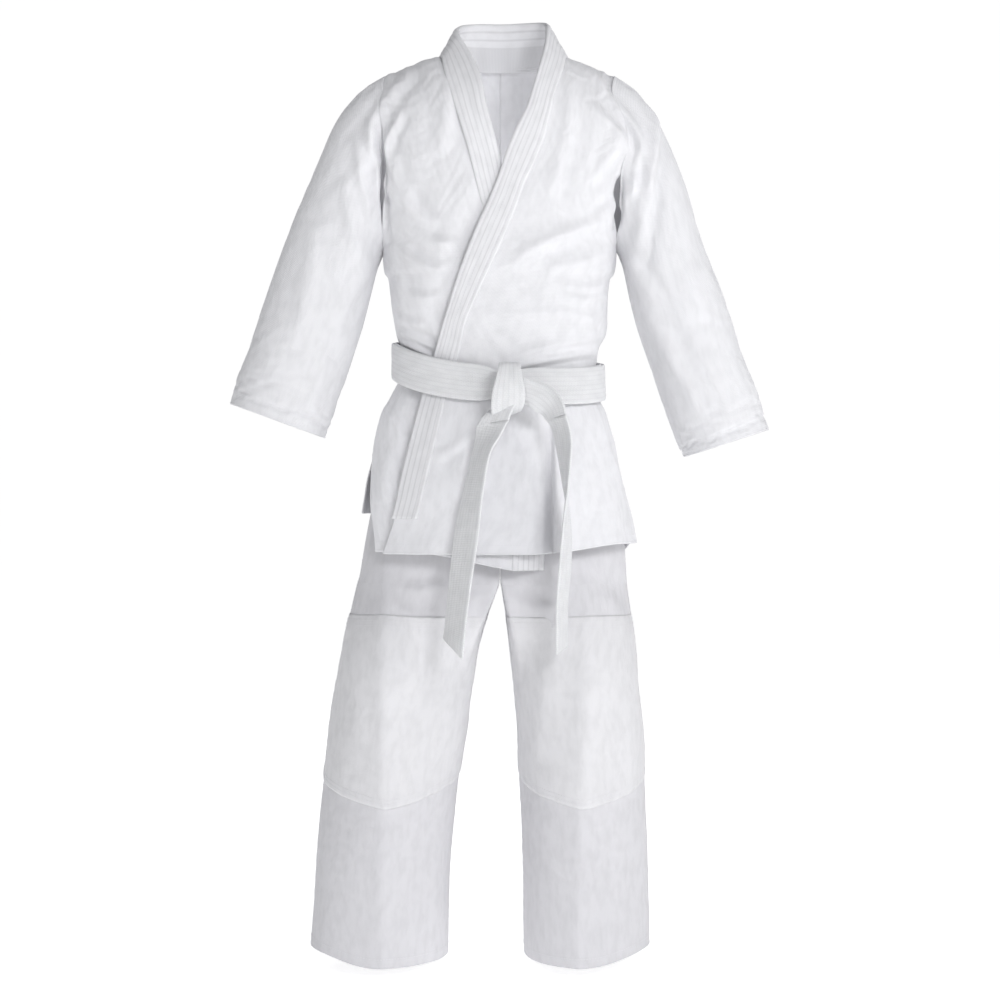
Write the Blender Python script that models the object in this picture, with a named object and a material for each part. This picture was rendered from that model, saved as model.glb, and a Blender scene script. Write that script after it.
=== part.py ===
"""White wrap-over practice uniform: jacket, knotted belt and wide trousers, hanging as if worn.

Metres, +Z up. The front faces -Y and the wearer's left side is +X. The origin is the centre of
the trouser waistband, because the wearer's waist is what holds the whole outfit up.
"""

import math

import bpy
from mathutils import Matrix, Vector

# Cloth thicknesses and the gap that touching pieces keep.
JACKET_CLOTH = 0.0022
TROUSER_CLOTH = 0.0018
FACING_CLOTH = 0.0015
SEAM_GAP = 0.0006
LAPEL_GAP = 0.0014

# Levels, measured from the waistband's centre.
ARMPIT_Z = 0.134
WAIST_SEAM_Z = 0.090
WAIST_END_Z = -0.0450
SKIRT_TOP_Z = -0.0485
LEG_TOP_Z = -0.2376
LEG_HEM_Z = -0.650

# Jacket body. The armholes lie in two upright planes.
ARMHOLE_X = 0.130
ARMHOLE_DEPTH = 0.055
NECK_HALF_WIDTH = 0.072
NECK_BACK_DEPTH = 0.058
SHOULDER_BEND = 0.6
UNDERLAP_DROP = 0.0085
UNDERLAP_RAMP = 0.030
ROUNDNESS = 0.87

# Lapel band: a folded channel with a stiffening core inside.
BAND_THICKNESS = 0.0058
BAND_WALL = 0.0016
BAND_PROUD = 0.0012
CORE_CLEARANCE = 0.0004

# Belt.
BELT_WIDTH = 0.0395
BELT_THICKNESS = 0.0024
BELT_CLEARANCE = 0.0036
TAIL_THICKNESS = 0.0034
TAIL_WIDTH = 0.038

# Outline rows: level, half width on the wearer's right, half width on the left, depth to the
# front, depth to the back.
JACKET_ROWS = (
    (0.350, 0.130, 0.130, 0.074, 0.080),
    (0.134, 0.130, 0.130, 0.083, 0.085),
    (0.100, 0.1240, 0.1225, 0.082, 0.082),
    (0.070, 0.1210, 0.1200, 0.080, 0.078),
    (0.040, 0.1155, 0.1180, 0.076, 0.074),
    (0.024, 0.1110, 0.1100, 0.073, 0.072),
    (0.000, 0.1110, 0.1070, 0.072, 0.072),
    (-0.012, 0.1130, 0.1070, 0.072, 0.073),
    (-0.033, 0.1240, 0.1100, 0.077, 0.078),
    (-0.050, 0.1330, 0.1190, 0.083, 0.085),
    (-0.090, 0.1425, 0.1290, 0.090, 0.094),
    (-0.132, 0.1510, 0.1390, 0.095, 0.101),
    (-0.172, 0.1570, 0.1490, 0.098, 0.106),
    (-0.240, 0.1620, 0.1600, 0.102, 0.111),
)
TROUSER_ROWS = (
    (0.020, 0.0980, 0.0960, 0.052, 0.055),
    (-0.0195, 0.0990, 0.0970, 0.053, 0.057),
    (-0.0465, 0.1070, 0.0990, 0.057, 0.062),
    (-0.090, 0.1240, 0.1120, 0.065, 0.073),
    (-0.132, 0.1370, 0.1250, 0.072, 0.083),
    (-0.172, 0.1470, 0.1370, 0.080, 0.092),
    (-0.237, 0.1580, 0.1420, 0.084, 0.096),
)

# Leg rows: level, side nearer -X, side nearer +X, depth to the front, depth to the back.
LEG_ROWS = {
    "right": (
        (LEG_TOP_Z, -0.1600, -0.0060, 0.083, 0.092),
        (-0.307, -0.1750, -0.0260, 0.081, 0.086),
        (-0.414, -0.1915, -0.0410, 0.078, 0.081),
        (-0.535, -0.2040, -0.0550, 0.075, 0.077),
        (LEG_HEM_Z, -0.2106, -0.0590, 0.074, 0.076),
    ),
    "left": (
        (LEG_TOP_Z, 0.0040, 0.1420, 0.083, 0.092),
        (-0.307, 0.0130, 0.1490, 0.081, 0.086),
        (-0.414, 0.0200, 0.1590, 0.078, 0.081),
        (-0.535, 0.0246, 0.1635, 0.075, 0.077),
        (LEG_HEM_Z, 0.0280, 0.1670, 0.074, 0.076),
    ),
}
KNEE_PATCH_TOP_Z = -0.276
KNEE_PATCH_SIDE_Z = -0.450
KNEE_PATCH_POINT_DROP = 0.028
KNEE_PATCH_HALF_ANGLE = math.radians(66)
KNEE_PATCH_PROUD = 0.0042

# Sleeve outlines: (x, z) of the outer edge, then of the inner edge, from armhole to cuff.
SLEEVE_EDGES = {
    "left": (
        (0.1324, 0.3284, 0.1324, 0.1340),
        (0.1557, 0.3100, 0.1345, 0.1270),
        (0.1810, 0.2710, 0.1390, 0.1150),
        (0.2040, 0.2170, 0.1430, 0.0900),
        (0.2237, 0.1500, 0.1520, 0.0560),
        (0.2498, 0.0830, 0.1660, 0.0150),
        (0.2700, 0.0200, 0.1840, -0.0400),
        (0.2880, -0.0250, 0.1970, -0.0760),
        (0.3000, -0.0670, 0.2060, -0.0974),
    ),
    "right": (
        (-0.1324, 0.3284, -0.1324, 0.1340),
        (-0.1560, 0.3110, -0.1345, 0.1260),
        (-0.1850, 0.2740, -0.1390, 0.1130),
        (-0.2106, 0.2170, -0.1445, 0.0860),
        (-0.2350, 0.1560, -0.1530, 0.0550),
        (-0.2610, 0.0830, -0.1670, 0.0120),
        (-0.2800, 0.0300, -0.1780, -0.0220),
        (-0.2930, -0.0040, -0.1880, -0.0500),
        (-0.3020, -0.0380, -0.1970, -0.0760),
    ),
}
SLEEVE_DEPTHS = (0.055, 0.056, 0.056, 0.055, 0.053, 0.051, 0.050, 0.049, 0.048)
CUFF_FACING_SHARE = 0.88

# Lapel edges on the front, from the shoulder down: level, x of the seam edge, x of the free edge.
LAPEL_ROWS = (
    (0.3500, 0.0740, 0.0520),
    (0.3235, 0.0687, 0.0480),
    (0.2930, 0.0592, 0.0345),
    (0.2400, 0.0466, 0.0100),
    (0.1956, 0.0269, -0.0050),
    (0.1565, 0.0129, -0.0226),
    (0.1050, -0.0100, -0.0430),
    (0.0462, -0.0366, -0.0620),
    (0.0065, -0.0442, -0.0735),
    (-0.0284, -0.0559, -0.0840),
    (-0.1155, -0.0761, -0.1060),
    (-0.1640, -0.0880, -0.1170),
    (-0.2400, -0.1090, -0.1430),
)
UNDER_LAPEL_ROWS = (
    (0.3500, -0.0660, -0.0400),
    (0.3110, -0.0584, -0.0230),
    (0.2446, -0.0378, -0.0045),
    (0.1800, -0.0215, 0.0110),
    (0.1050, 0.0020, 0.0350),
    (0.0065, 0.0150, 0.0490),
    (-0.0500, 0.0180, 0.0520),
    (-0.2400, 0.0120, 0.0470),
)
# The free edge runs this much higher up the body than the seam edge opposite it.
LAPEL_SLANT = 0.012
# Where the band leaves the chest and stands up round the neck: level of the seam edge, then the
# free edge, on the wearer's left and on the right.
COLLAR_RISE = (
    (0.342, (0.0515, -0.016, 0.3780), (-0.0455, -0.014, 0.3720)),
    (0.328, (0.0497, -0.034, 0.3590), (-0.0350, -0.032, 0.3520)),
    (0.312, (0.0455, -0.051, 0.3390), (-0.0255, -0.050, 0.3300)),
    (0.293, (0.0385, -0.066, 0.3130), (-0.0185, -0.066, 0.3075)),
)
# Collar band behind the neck: seam edge, then free edge, from the right shoulder to the left.
NECK_EDGES = (
    ((-0.0680, 0.0120, 0.3535), (-0.0480, 0.0080, 0.3830)),
    ((-0.0500, 0.0390, 0.3535), (-0.0380, 0.0300, 0.3868)),
    ((-0.0250, 0.0550, 0.3535), (-0.0190, 0.0455, 0.3868)),
    ((0.0040, 0.0600, 0.3535), (0.0040, 0.0505, 0.3868)),
    ((0.0330, 0.0550, 0.3535), (0.0270, 0.0455, 0.3870)),
    ((0.0580, 0.0390, 0.3535), (0.0460, 0.0300, 0.3872)),
    ((0.0755, 0.0120, 0.3535), (0.0520, 0.0080, 0.3865)),
)

# Joint axes.
SHOULDER_PIVOT_Z = 0.3290
FRONT_PIVOT = Vector((0.008, -0.116, -0.058))
BACK_PIVOT = Vector((0.0, 0.088, SKIRT_TOP_Z))

# Tails: centre point of the strap and how far its face is turned, from the knot down.
TAIL_ROUTES = {
    "right": (
        (-0.004, -0.1140, -0.0590, 25),
        (-0.012, -0.1150, -0.0750, 45),
        (-0.0195, -0.1200, -0.0928, 60),
        (-0.029, -0.1230, -0.1400, 55),
        (-0.036, -0.1250, -0.1850, 48),
        (-0.0425, -0.1260, -0.2400, 52),
        (-0.049, -0.1270, -0.3040, 56),
    ),
    "left": (
        (0.054, -0.1140, -0.0590, 40),
        (0.0625, -0.1180, -0.0750, 62),
        (0.0675, -0.1220, -0.0928, 74),
        (0.0695, -0.1250, -0.1360, 90),
        (0.0700, -0.1260, -0.1850, 108),
        (0.0655, -0.1270, -0.2533, 108),
        (0.0660, -0.1280, -0.3040, 106),
    ),
}

TROUSER_WHITE = (0.80, 0.80, 0.82)
JACKET_WHITE = (0.84, 0.84, 0.86)
BELT_WHITE = (0.72, 0.73, 0.75)
PATCH_WHITE = (0.82, 0.82, 0.85)
ELASTIC_WHITE = (0.74, 0.74, 0.72)


def clear_scene():
    for item in list(bpy.data.objects):
        bpy.data.objects.remove(item, do_unlink=True)


def cloth_material(name, colour, roughness=0.9):
    material = bpy.data.materials.new(name)
    material.use_nodes = True
    shader = material.node_tree.nodes["Principled BSDF"]
    shader.inputs["Base Color"].default_value = (*colour, 1.0)
    shader.inputs["Roughness"].default_value = roughness
    shader.inputs["Metallic"].default_value = 0.0
    return material


def read_rows(rows, level):
    """Linear reading of a table whose first column falls from row to row."""
    if level >= rows[0][0]:
        return rows[0][1:]
    for upper, lower in zip(rows, rows[1:]):
        if level >= lower[0]:
            share = (level - lower[0]) / (upper[0] - lower[0])
            return tuple(b + (a - b) * share for a, b in zip(upper[1:], lower[1:]))
    return rows[-1][1:]


def signed_power(value, exponent):
    return math.copysign(abs(value) ** exponent, value)


def smooth_step(value):
    value = min(1.0, max(0.0, value))
    return value * value * (3.0 - 2.0 * value)


def spaced(first, last, count):
    """Evenly spaced numbers, both ends included."""
    return [first + (last - first) * i / (count - 1) for i in range(count)]


# ------------------------------------------------------------------ meshes

def add_object(name, vertices, faces, colour):
    mesh = bpy.data.meshes.new(name)
    mesh.from_pydata([tuple(v) for v in vertices], [], faces)
    mesh.materials.append(cloth_material(name, colour))
    item = bpy.data.objects.new(name, mesh)
    bpy.context.scene.collection.objects.link(item)
    mesh.shade_smooth()
    mesh.set_sharp_from_angle(angle=math.radians(40))
    return item


def add_cloth(name, grid, thickness, colour, closed=False):
    """A sheet through a grid of outer points. Rows run up and columns run to +X on the front."""
    columns = len(grid[0])
    vertices = [point for row in grid for point in row]
    faces = []
    for r in range(len(grid) - 1):
        for c in range(columns if closed else columns - 1):
            d = (c + 1) % columns
            faces.append((r * columns + c, r * columns + d, (r + 1) * columns + d, (r + 1) * columns + c))
    item = add_object(name, vertices, faces, colour)
    wall = item.modifiers.new("Cloth thickness", "SOLIDIFY")
    wall.thickness = thickness
    wall.offset = -1.0
    wall.use_even_offset = True
    return item


def add_sweep(name, sections, colour, closed=False):
    """A solid bar through cross-sections that all have the same number of points.

    Each side is split along its shorter diagonal, so that nested bars twist alike.
    """
    count = len(sections[0])
    vertices = [point for section in sections for point in section]
    faces = []
    for s in range(len(sections) if closed else len(sections) - 1):
        t = (s + 1) % len(sections)
        for i in range(count):
            j = (i + 1) % count
            near, far = s * count + i, s * count + j
            next_near, next_far = t * count + i, t * count + j
            if (vertices[near] - vertices[next_far]).length < (vertices[far] - vertices[next_near]).length:
                faces += [(near, far, next_far), (near, next_far, next_near)]
            else:
                faces += [(near, far, next_near), (far, next_far, next_near)]
    if not closed:
        faces.append(tuple(reversed(range(count))))
        last = (len(sections) - 1) * count
        faces.append(tuple(last + i for i in range(count)))
    return add_object(name, vertices, faces, colour)


def offset_grid(grid, distance, level_sides=False):
    """Each point moved along the sheet's outward side by distance(point), or by a number."""
    moved = []
    rows, columns = len(grid), len(grid[0])
    for r in range(rows):
        row = []
        for c in range(columns):
            across = grid[r][min(c + 1, columns - 1)] - grid[r][max(c - 1, 0)]
            along = grid[min(r + 1, rows - 1)][c] - grid[max(r - 1, 0)][c]
            normal = across.cross(along).normalized()
            if level_sides:
                normal = Vector((normal.x, normal.y, 0.0)).normalized()
            step = distance(grid[r][c]) if callable(distance) else distance
            row.append(grid[r][c] + normal * step)
        moved.append(row)
    return moved


# ------------------------------------------------------------------ body outlines

def outline_point(row, angle, z, outset=0.0):
    """A point on an outline. Angle 0 is the front and 90 degrees is the wearer's left."""
    right, left, front, back = row
    across = math.sin(angle)
    ahead = math.cos(angle)
    half_width = (left if across > 0 else right) + outset
    half_depth = (front if ahead > 0 else back) + outset
    x = half_width * signed_power(across, ROUNDNESS)
    y = -half_depth * signed_power(ahead, ROUNDNESS)
    return Vector((x, y, z))


def shoulder_z(x):
    """Height of the shoulder ridge above a given distance from the centre."""
    reach = min(ARMHOLE_X, max(NECK_HALF_WIDTH, abs(x)))
    return 0.350 - 0.37 * (reach - NECK_HALF_WIDTH)


def torso_section(level, x, face):
    """Half width, half depth, and angle of the side edge, at a level and beside a given x.

    A negative level is metres below the armpit. A positive one is the share of the way from the
    armpit to the shoulder ridge.
    """
    if level <= 0:
        z = ARMPIT_Z + level
        right, left, front, back = read_rows(JACKET_ROWS, z)
        return (left if x > 0 else right), (front if face < 0 else back), math.radians(89.85), z, 1.0
    z = ARMPIT_Z + level * (shoulder_z(x) - ARMPIT_Z)
    _, _, front, back = read_rows(JACKET_ROWS, z)
    depth = front if face < 0 else back
    bend = max(0.0, (level - SHOULDER_BEND) / (1.0 - SHOULDER_BEND))
    rounding = math.sqrt(max(1e-6, 1.0 - bend * bend))
    opening = ARMHOLE_DEPTH * math.sqrt(max(1e-6, 1.0 - (2.0 * level - 1.0) ** 2)) / rounding
    side = min(math.radians(89.85), math.acos(min(0.98, opening / depth) ** (1.0 / ROUNDNESS)))
    half_width = ARMHOLE_X / math.sin(side) ** ROUNDNESS
    return half_width, depth, side, z, rounding


def torso_point(level, angle, face):
    """A point on the jacket body's outer face. Face is -1 for the front and +1 for the back."""
    guess = ARMHOLE_X * math.sin(angle)
    for _ in range(4):
        half_width, depth, side, z, rounding = torso_section(level, guess, face)
        angle = max(-side, min(side, angle))
        guess = half_width * signed_power(math.sin(angle), ROUNDNESS)
    y = depth * math.cos(angle) ** ROUNDNESS * rounding
    neck = 1.0 - (guess / NECK_HALF_WIDTH) ** 2
    if face > 0 and neck > 0:
        y += NECK_BACK_DEPTH * math.sqrt(neck) * (1.0 - rounding)
    return Vector((guess, face * max(y, 2 * SEAM_GAP), z))


def angle_at(level, x, face):
    half_width, _, side, _, _ = torso_section(level, x, face)
    share = min(1.0, abs(x) / half_width)
    return math.copysign(min(side, math.asin(share ** (1.0 / ROUNDNESS))), x)


def level_of(x, z):
    if z <= ARMPIT_Z:
        return z - ARMPIT_Z
    return min(1.0, (z - ARMPIT_Z) / (shoulder_z(x) - ARMPIT_Z))


def front_point(x, z):
    """The point of the front's outer face that is seen at x and z from straight ahead."""
    level = level_of(x, z)
    return torso_point(level, angle_at(level, x, -1), -1)


def level_normal(point):
    """The level direction that the front faces at a point of it."""
    step = 0.004
    across = front_point(point.x + step, point.z) - front_point(point.x - step, point.z)
    return Vector((across.y, -across.x, 0.0)).normalized()


def underlap_drop(point):
    """How far the under front sinks below the outer face where the outer front covers it."""
    edge = read_rows(LAPEL_ROWS, point.z)[1]
    return -UNDERLAP_DROP * smooth_step((point.x - edge) / UNDERLAP_RAMP + 1.0)


def lapel_edge_x(rows, level, column):
    """X of a lapel edge on a torso row, found by walking to where the row meets the edge."""
    x = 0.0
    for _ in range(8):
        z = torso_section(level, x, -1)[3]
        x = read_rows(rows, z)[column]
    return x


# ------------------------------------------------------------------ jacket

UPPER_LEVELS = spaced(WAIST_SEAM_Z + SEAM_GAP - ARMPIT_Z, 0.0, 3)
UPPER_LEVELS += [0.12, 0.3, 0.5, 0.66, 0.8, 0.9, 0.97, 1.0]
WAIST_LEVELS = [z - ARMPIT_Z for z in (WAIST_END_Z, -0.030, -0.008, 0.016, 0.036, 0.062, WAIST_SEAM_Z)]
FRONT_COLUMNS = 11
BACK_COLUMNS = 8


def front_grid(levels, side, lapel):
    """Rows of a front panel, from its lapel seam round to its side seam or armhole."""
    grid = []
    for level in levels:
        seam_x = lapel_edge_x(lapel, level, 0) + side * LAPEL_GAP
        start = angle_at(level, seam_x, -1)
        stop = side * torso_section(level, side * ARMHOLE_X, -1)[2]
        angles = spaced(start, stop, FRONT_COLUMNS) if side > 0 else spaced(stop, start, FRONT_COLUMNS)
        grid.append([torso_point(level, angle, -1) for angle in angles])
    return grid


def back_grid(levels, side, columns, whole=False):
    """Rows of a back panel, listed so that the outer face points away from the body."""
    grid = []
    for level in levels:
        stop = torso_section(level, side * ARMHOLE_X, 1)[2]
        first, last = (stop, -stop) if whole else ((stop, 0.0) if side > 0 else (0.0, -stop))
        row = [torso_point(level, angle, 1) for angle in spaced(first, last, columns)]
        if not whole:
            for point in row:
                point.x = side * max(SEAM_GAP / 2, side * point.x)
        grid.append(row)
    return grid


def make_jacket_body():
    left = front_grid(UPPER_LEVELS, 1, LAPEL_ROWS)
    right = offset_grid(front_grid(UPPER_LEVELS, -1, UNDER_LAPEL_ROWS), underlap_drop, True)
    add_cloth("jacket_front_left", left, JACKET_CLOTH, JACKET_WHITE)
    add_cloth("jacket_front_right", right, JACKET_CLOTH, JACKET_WHITE)
    for side, word in ((1, "left"), (-1, "right")):
        back = back_grid(UPPER_LEVELS, side, BACK_COLUMNS)
        add_cloth("jacket_back_" + word, back, JACKET_CLOTH, JACKET_WHITE)
    left = front_grid(WAIST_LEVELS, 1, LAPEL_ROWS)
    right = offset_grid(front_grid(WAIST_LEVELS, -1, UNDER_LAPEL_ROWS), underlap_drop, True)
    add_cloth("waist_front_left", left, JACKET_CLOTH, JACKET_WHITE)
    add_cloth("waist_front_right", right, JACKET_CLOTH, JACKET_WHITE)
    add_cloth("waist_back", back_grid(WAIST_LEVELS, 1, 15, whole=True), JACKET_CLOTH, JACKET_WHITE)


def make_shoulder_linings():
    """Reinforcing cloth inside each shoulder, folded over the ridge from front to back."""
    depth_below = 0.0052
    levels = (0.72, 0.82, 0.91, 0.97)
    for side, word in ((1, "left"), (-1, "right")):
        inner, outer = (0.082, 0.126) if side > 0 else (-0.126, -0.082)
        front = []
        back = []
        for level in levels:
            front.append([torso_point(level, angle_at(level, x, -1), -1) for x in spaced(inner, outer, 5)])
            back.append([torso_point(level, angle_at(level, x, 1), 1) for x in spaced(inner, outer, 5)])
        ridge = [Vector((x, 0.0, shoulder_z(x))) for x in spaced(inner, outer, 5)]
        grid = front + [ridge] + back[::-1]
        add_cloth("shoulder_lining_" + word, offset_grid(grid, -depth_below), FACING_CLOTH, JACKET_WHITE)


def band_frames(edges):
    """Seam point, free point and outward side of the lapel band at each pair of edge points."""
    frames = []
    for i, (seam, free) in enumerate(edges):
        ahead = edges[min(i + 1, len(edges) - 1)]
        behind = edges[max(i - 1, 0)]
        run = ahead[0] + ahead[1] - behind[0] - behind[1]
        normal = (free - seam).cross(run).normalized()
        normal.z *= smooth_step((seam.z - 0.10) / 0.10)
        normal.normalize()
        frames.append((seam + normal * BAND_PROUD, free + normal * BAND_PROUD, normal))
    return frames


def band_section(seam, free, normal):
    """Outline of the folded channel, open at the seam edge where the core was put in."""
    width = (free - seam).normalized()
    lip = width * BAND_WALL
    shape = (
        (seam, 0.0), (free, 0.0), (free, BAND_THICKNESS), (seam, BAND_THICKNESS),
        (seam, BAND_THICKNESS - BAND_WALL), (free - lip, BAND_THICKNESS - BAND_WALL),
        (free - lip, BAND_WALL), (seam, BAND_WALL),
    )
    return [point - normal * depth for point, depth in shape]


def core_section(seam, free, normal):
    width = (free - seam).normalized()
    start = seam + width * CORE_CLEARANCE
    stop = free - width * (BAND_WALL + CORE_CLEARANCE)
    top = BAND_WALL + CORE_CLEARANCE
    bottom = BAND_THICKNESS - BAND_WALL - CORE_CLEARANCE
    return [start - normal * top, stop - normal * top, stop - normal * bottom, start - normal * bottom]


def lapel_edges(rows, levels, under):
    """Pairs of edge points where the band lies on the chest or the skirt."""
    edges = []
    for z in levels:
        seam = front_point(read_rows(rows, z)[0], z)
        free_z = z + LAPEL_SLANT * smooth_step((z - WAIST_END_Z) / 0.03)
        free = front_point(read_rows(rows, free_z)[1], free_z)
        if under:
            seam += level_normal(seam) * underlap_drop(seam)
            free += level_normal(free) * underlap_drop(free)
        edges.append((seam, free))
    return edges


CHEST_LAPEL_LEVELS = (0.270, 0.245, 0.220, 0.196, 0.170, 0.140, 0.105, 0.075, 0.046, 0.022, 0.004, -0.014,
                      -0.030, WAIST_END_Z)
SKIRT_LAPEL_LEVELS = (SKIRT_TOP_Z, -0.075, -0.105, -0.135, -0.165, -0.190)


def make_collar():
    """One band from the under front's belt line, round the neck, to the outer front's."""
    outer = []
    under = []
    for level, left, right in COLLAR_RISE:
        outer.append((front_point(read_rows(LAPEL_ROWS, level)[0], level), Vector(left)))
        under.append((front_point(read_rows(UNDER_LAPEL_ROWS, level)[0], level), Vector(right)))
    outer += lapel_edges(LAPEL_ROWS, CHEST_LAPEL_LEVELS, under=False)
    under += lapel_edges(UNDER_LAPEL_ROWS, CHEST_LAPEL_LEVELS, under=True)
    neck = [(Vector(seam), Vector(free)) for seam, free in NECK_EDGES]
    frames = band_frames(under[::-1] + neck + outer)
    add_sweep("collar_band", [band_section(*frame) for frame in frames], JACKET_WHITE)
    add_sweep("collar_core", [core_section(*frame) for frame in frames], ELASTIC_WHITE)


def sleeve_ring(side, share, count=20, inset=0.0):
    """One ring round a sleeve, share 0 at the armhole and 1 at the cuff."""
    edges = SLEEVE_EDGES[side]
    place = share * (len(edges) - 1)
    index = min(int(place), len(edges) - 2)
    blend = place - index
    pairs = zip(edges[index], edges[index + 1])
    outer_x, outer_z, inner_x, inner_z = (a + (b - a) * blend for a, b in pairs)
    deeper = SLEEVE_DEPTHS[index + 1] - SLEEVE_DEPTHS[index]
    half_depth = SLEEVE_DEPTHS[index] + deeper * blend - inset
    outer = Vector((outer_x, 0.0, outer_z))
    inner = Vector((inner_x, 0.0, inner_z))
    centre = (outer + inner) / 2
    reach = outer - centre
    reach = reach.normalized() * (reach.length - inset)
    ring = []
    for i in range(count):
        angle = math.tau * i / count
        ring.append(centre + reach * math.cos(angle) + Vector((0.0, half_depth * math.sin(angle), 0.0)))
    return ring if side == "left" else ring[::-1]


def make_sleeve(side):
    """The sleeve tube and the facing turned up inside its cuff."""
    count = len(SLEEVE_EDGES[side])
    grid = [sleeve_ring(side, i / (count - 1)) for i in range(count)]
    sleeve = add_cloth(side + "_sleeve", grid, JACKET_CLOTH, JACKET_WHITE, closed=True)
    shares = spaced(CUFF_FACING_SHARE, 1.0, 3)
    grid = [sleeve_ring(side, share, inset=0.0032) for share in shares]
    facing = add_cloth(side + "_cuff_facing", grid, FACING_CLOTH, JACKET_WHITE, closed=True)
    return [sleeve, facing]


# ------------------------------------------------------------------ jacket skirt

def skirt_hem_z(x, under):
    """Level of the front skirt's hem below a given x."""
    if under:
        return -0.200 - 0.022 * smooth_step((x + 0.13) / 0.17)
    return -0.203 + 0.011 * smooth_step((x - 0.04) / 0.10)


def skirt_front_grid(side, lapel, under):
    rows = 8
    columns = 12
    grid = []
    for r in range(rows):
        share = r / (rows - 1)
        row = []
        for c in range(columns):
            across = c / (columns - 1)
            z = SKIRT_TOP_Z
            for _ in range(5):
                seam_x = read_rows(lapel, z)[0] + side * LAPEL_GAP
                level = z - ARMPIT_Z
                start = angle_at(level, seam_x, -1)
                stop = side * math.radians(87)
                angle = start + (stop - start) * (across if side > 0 else 1.0 - across)
                point = torso_point(level, angle, -1)
                hem = skirt_hem_z(point.x, under)
                z = SKIRT_TOP_Z + (hem - SKIRT_TOP_Z) * (1.0 - share)
            row.append(point)
        grid.append(row)
    return grid


def skirt_lapel(name, rows, under, hem):
    """The lapel band below the belt, cut from the rest of the band where the skirt swings."""
    edges = lapel_edges(rows, SKIRT_LAPEL_LEVELS + (hem,), under)
    frames = band_frames(edges[::-1] if under else edges)
    return add_sweep(name, [band_section(*frame) for frame in frames], JACKET_WHITE)


def make_front_skirt():
    outer = skirt_front_grid(1, LAPEL_ROWS, under=False)
    under = offset_grid(skirt_front_grid(-1, UNDER_LAPEL_ROWS, under=True), underlap_drop, True)
    return [
        add_cloth("skirt_front_left", outer, JACKET_CLOTH, JACKET_WHITE),
        add_cloth("skirt_front_right", under, JACKET_CLOTH, JACKET_WHITE),
        skirt_lapel("skirt_lapel_left", LAPEL_ROWS, False, -0.203),
        skirt_lapel("skirt_lapel_right", UNDER_LAPEL_ROWS, True, -0.222),
    ]


def make_back_skirt():
    grid = []
    for z in spaced(-0.206, SKIRT_TOP_Z, 8):
        angles = spaced(math.radians(88), -math.radians(88), 16)
        grid.append([torso_point(z - ARMPIT_Z, angle, 1) for angle in angles])
    return [add_cloth("skirt_back", grid, JACKET_CLOTH, JACKET_WHITE)]


# ------------------------------------------------------------------ belt

def belt_middle_z(angle):
    """The belt sits high on the wearer's right hip and low at the front."""
    return -0.0056 - 0.0105 * math.cos(angle) - 0.0112 * math.sin(angle) - 0.0049 * math.cos(2 * angle)


def belt_turn(name, outset, lift):
    columns = 40
    grid = []
    for share in (-0.5, -0.17, 0.17, 0.5):
        row = []
        for c in range(columns):
            angle = math.tau * c / columns
            z = belt_middle_z(angle) + share * BELT_WIDTH + lift
            row.append(outline_point(read_rows(JACKET_ROWS, z), angle, z, outset + BELT_THICKNESS))
        grid.append(row)
    return add_cloth(name, grid, BELT_THICKNESS, BELT_WHITE, closed=True)


def rounded_loop(centre_y, centre_z, half_depth, half_height, count=20):
    """An upright rounded outline in the YZ plane."""
    points = []
    for i in range(count):
        angle = math.tau * i / count
        y = centre_y + half_depth * signed_power(math.cos(angle), 0.6)
        z = centre_z + half_height * signed_power(math.sin(angle), 0.6)
        points.append((y, z))
    return points


def make_knot():
    """The strap wrapped round the crossing, and the folded crossing inside it."""
    centre_y, centre_z = -0.1032, -0.0305
    wall = 0.0030
    clearance = 0.0012
    half_depth = 0.0135
    half_height = 0.0262
    wrap = []
    for x in spaced(-0.008, 0.022, 3):
        outline = rounded_loop(centre_y, centre_z, half_depth, half_height)
        wrap.append([Vector((x, y, z)) for y, z in outline])
    add_cloth("belt_knot_wrap", wrap, wall, BELT_WHITE, closed=True)
    inset = wall + clearance
    core = []
    for x, swell in ((-0.024, 0.55), (-0.014, 0.9), (0.0, 1.0), (0.014, 1.0), (0.030, 0.9), (0.044, 0.55)):
        deep = (half_depth - inset) * swell
        high = (half_height - inset) * swell
        outline = rounded_loop(centre_y, centre_z, deep, high, 16)
        core.append([Vector((x, y, z)) for y, z in outline])
    add_sweep("belt_knot_core", core, BELT_WHITE)


def make_tail(side):
    grid = []
    for x, y, z, turn in reversed(TAIL_ROUTES[side]):
        angle = math.radians(turn)
        half = Vector((math.cos(angle), -math.sin(angle), 0.0)) * (TAIL_WIDTH / 2)
        centre = Vector((x, y, z))
        grid.append([centre - half, centre, centre + half])
    return [add_cloth("belt_tail_" + side, grid, TAIL_THICKNESS, BELT_WHITE)]


# ------------------------------------------------------------------ trousers

def make_waistband():
    """A folded casing, open along its lower edge, with the elastic lying inside it."""
    casing = ((0.0, -0.0185), (0.0, 0.018), (-0.0074, 0.018), (-0.0074, -0.0185),
              (-0.0056, -0.0185), (-0.0056, 0.0162), (-0.0018, 0.0162), (-0.0018, -0.0185))
    elastic = ((-0.0024, -0.014), (-0.0024, 0.0150), (-0.0050, 0.0150), (-0.0050, -0.014))
    row = read_rows(TROUSER_ROWS, 0.02)
    pieces = (("waistband", casing, TROUSER_WHITE), ("waist_elastic", elastic, ELASTIC_WHITE))
    for name, profile, colour in pieces:
        sections = []
        for i in range(40):
            angle = math.tau * i / 40
            sections.append([outline_point(row, angle, z, outset) for outset, z in profile])
        add_sweep(name, [section[::-1] for section in sections], colour, closed=True)


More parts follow.
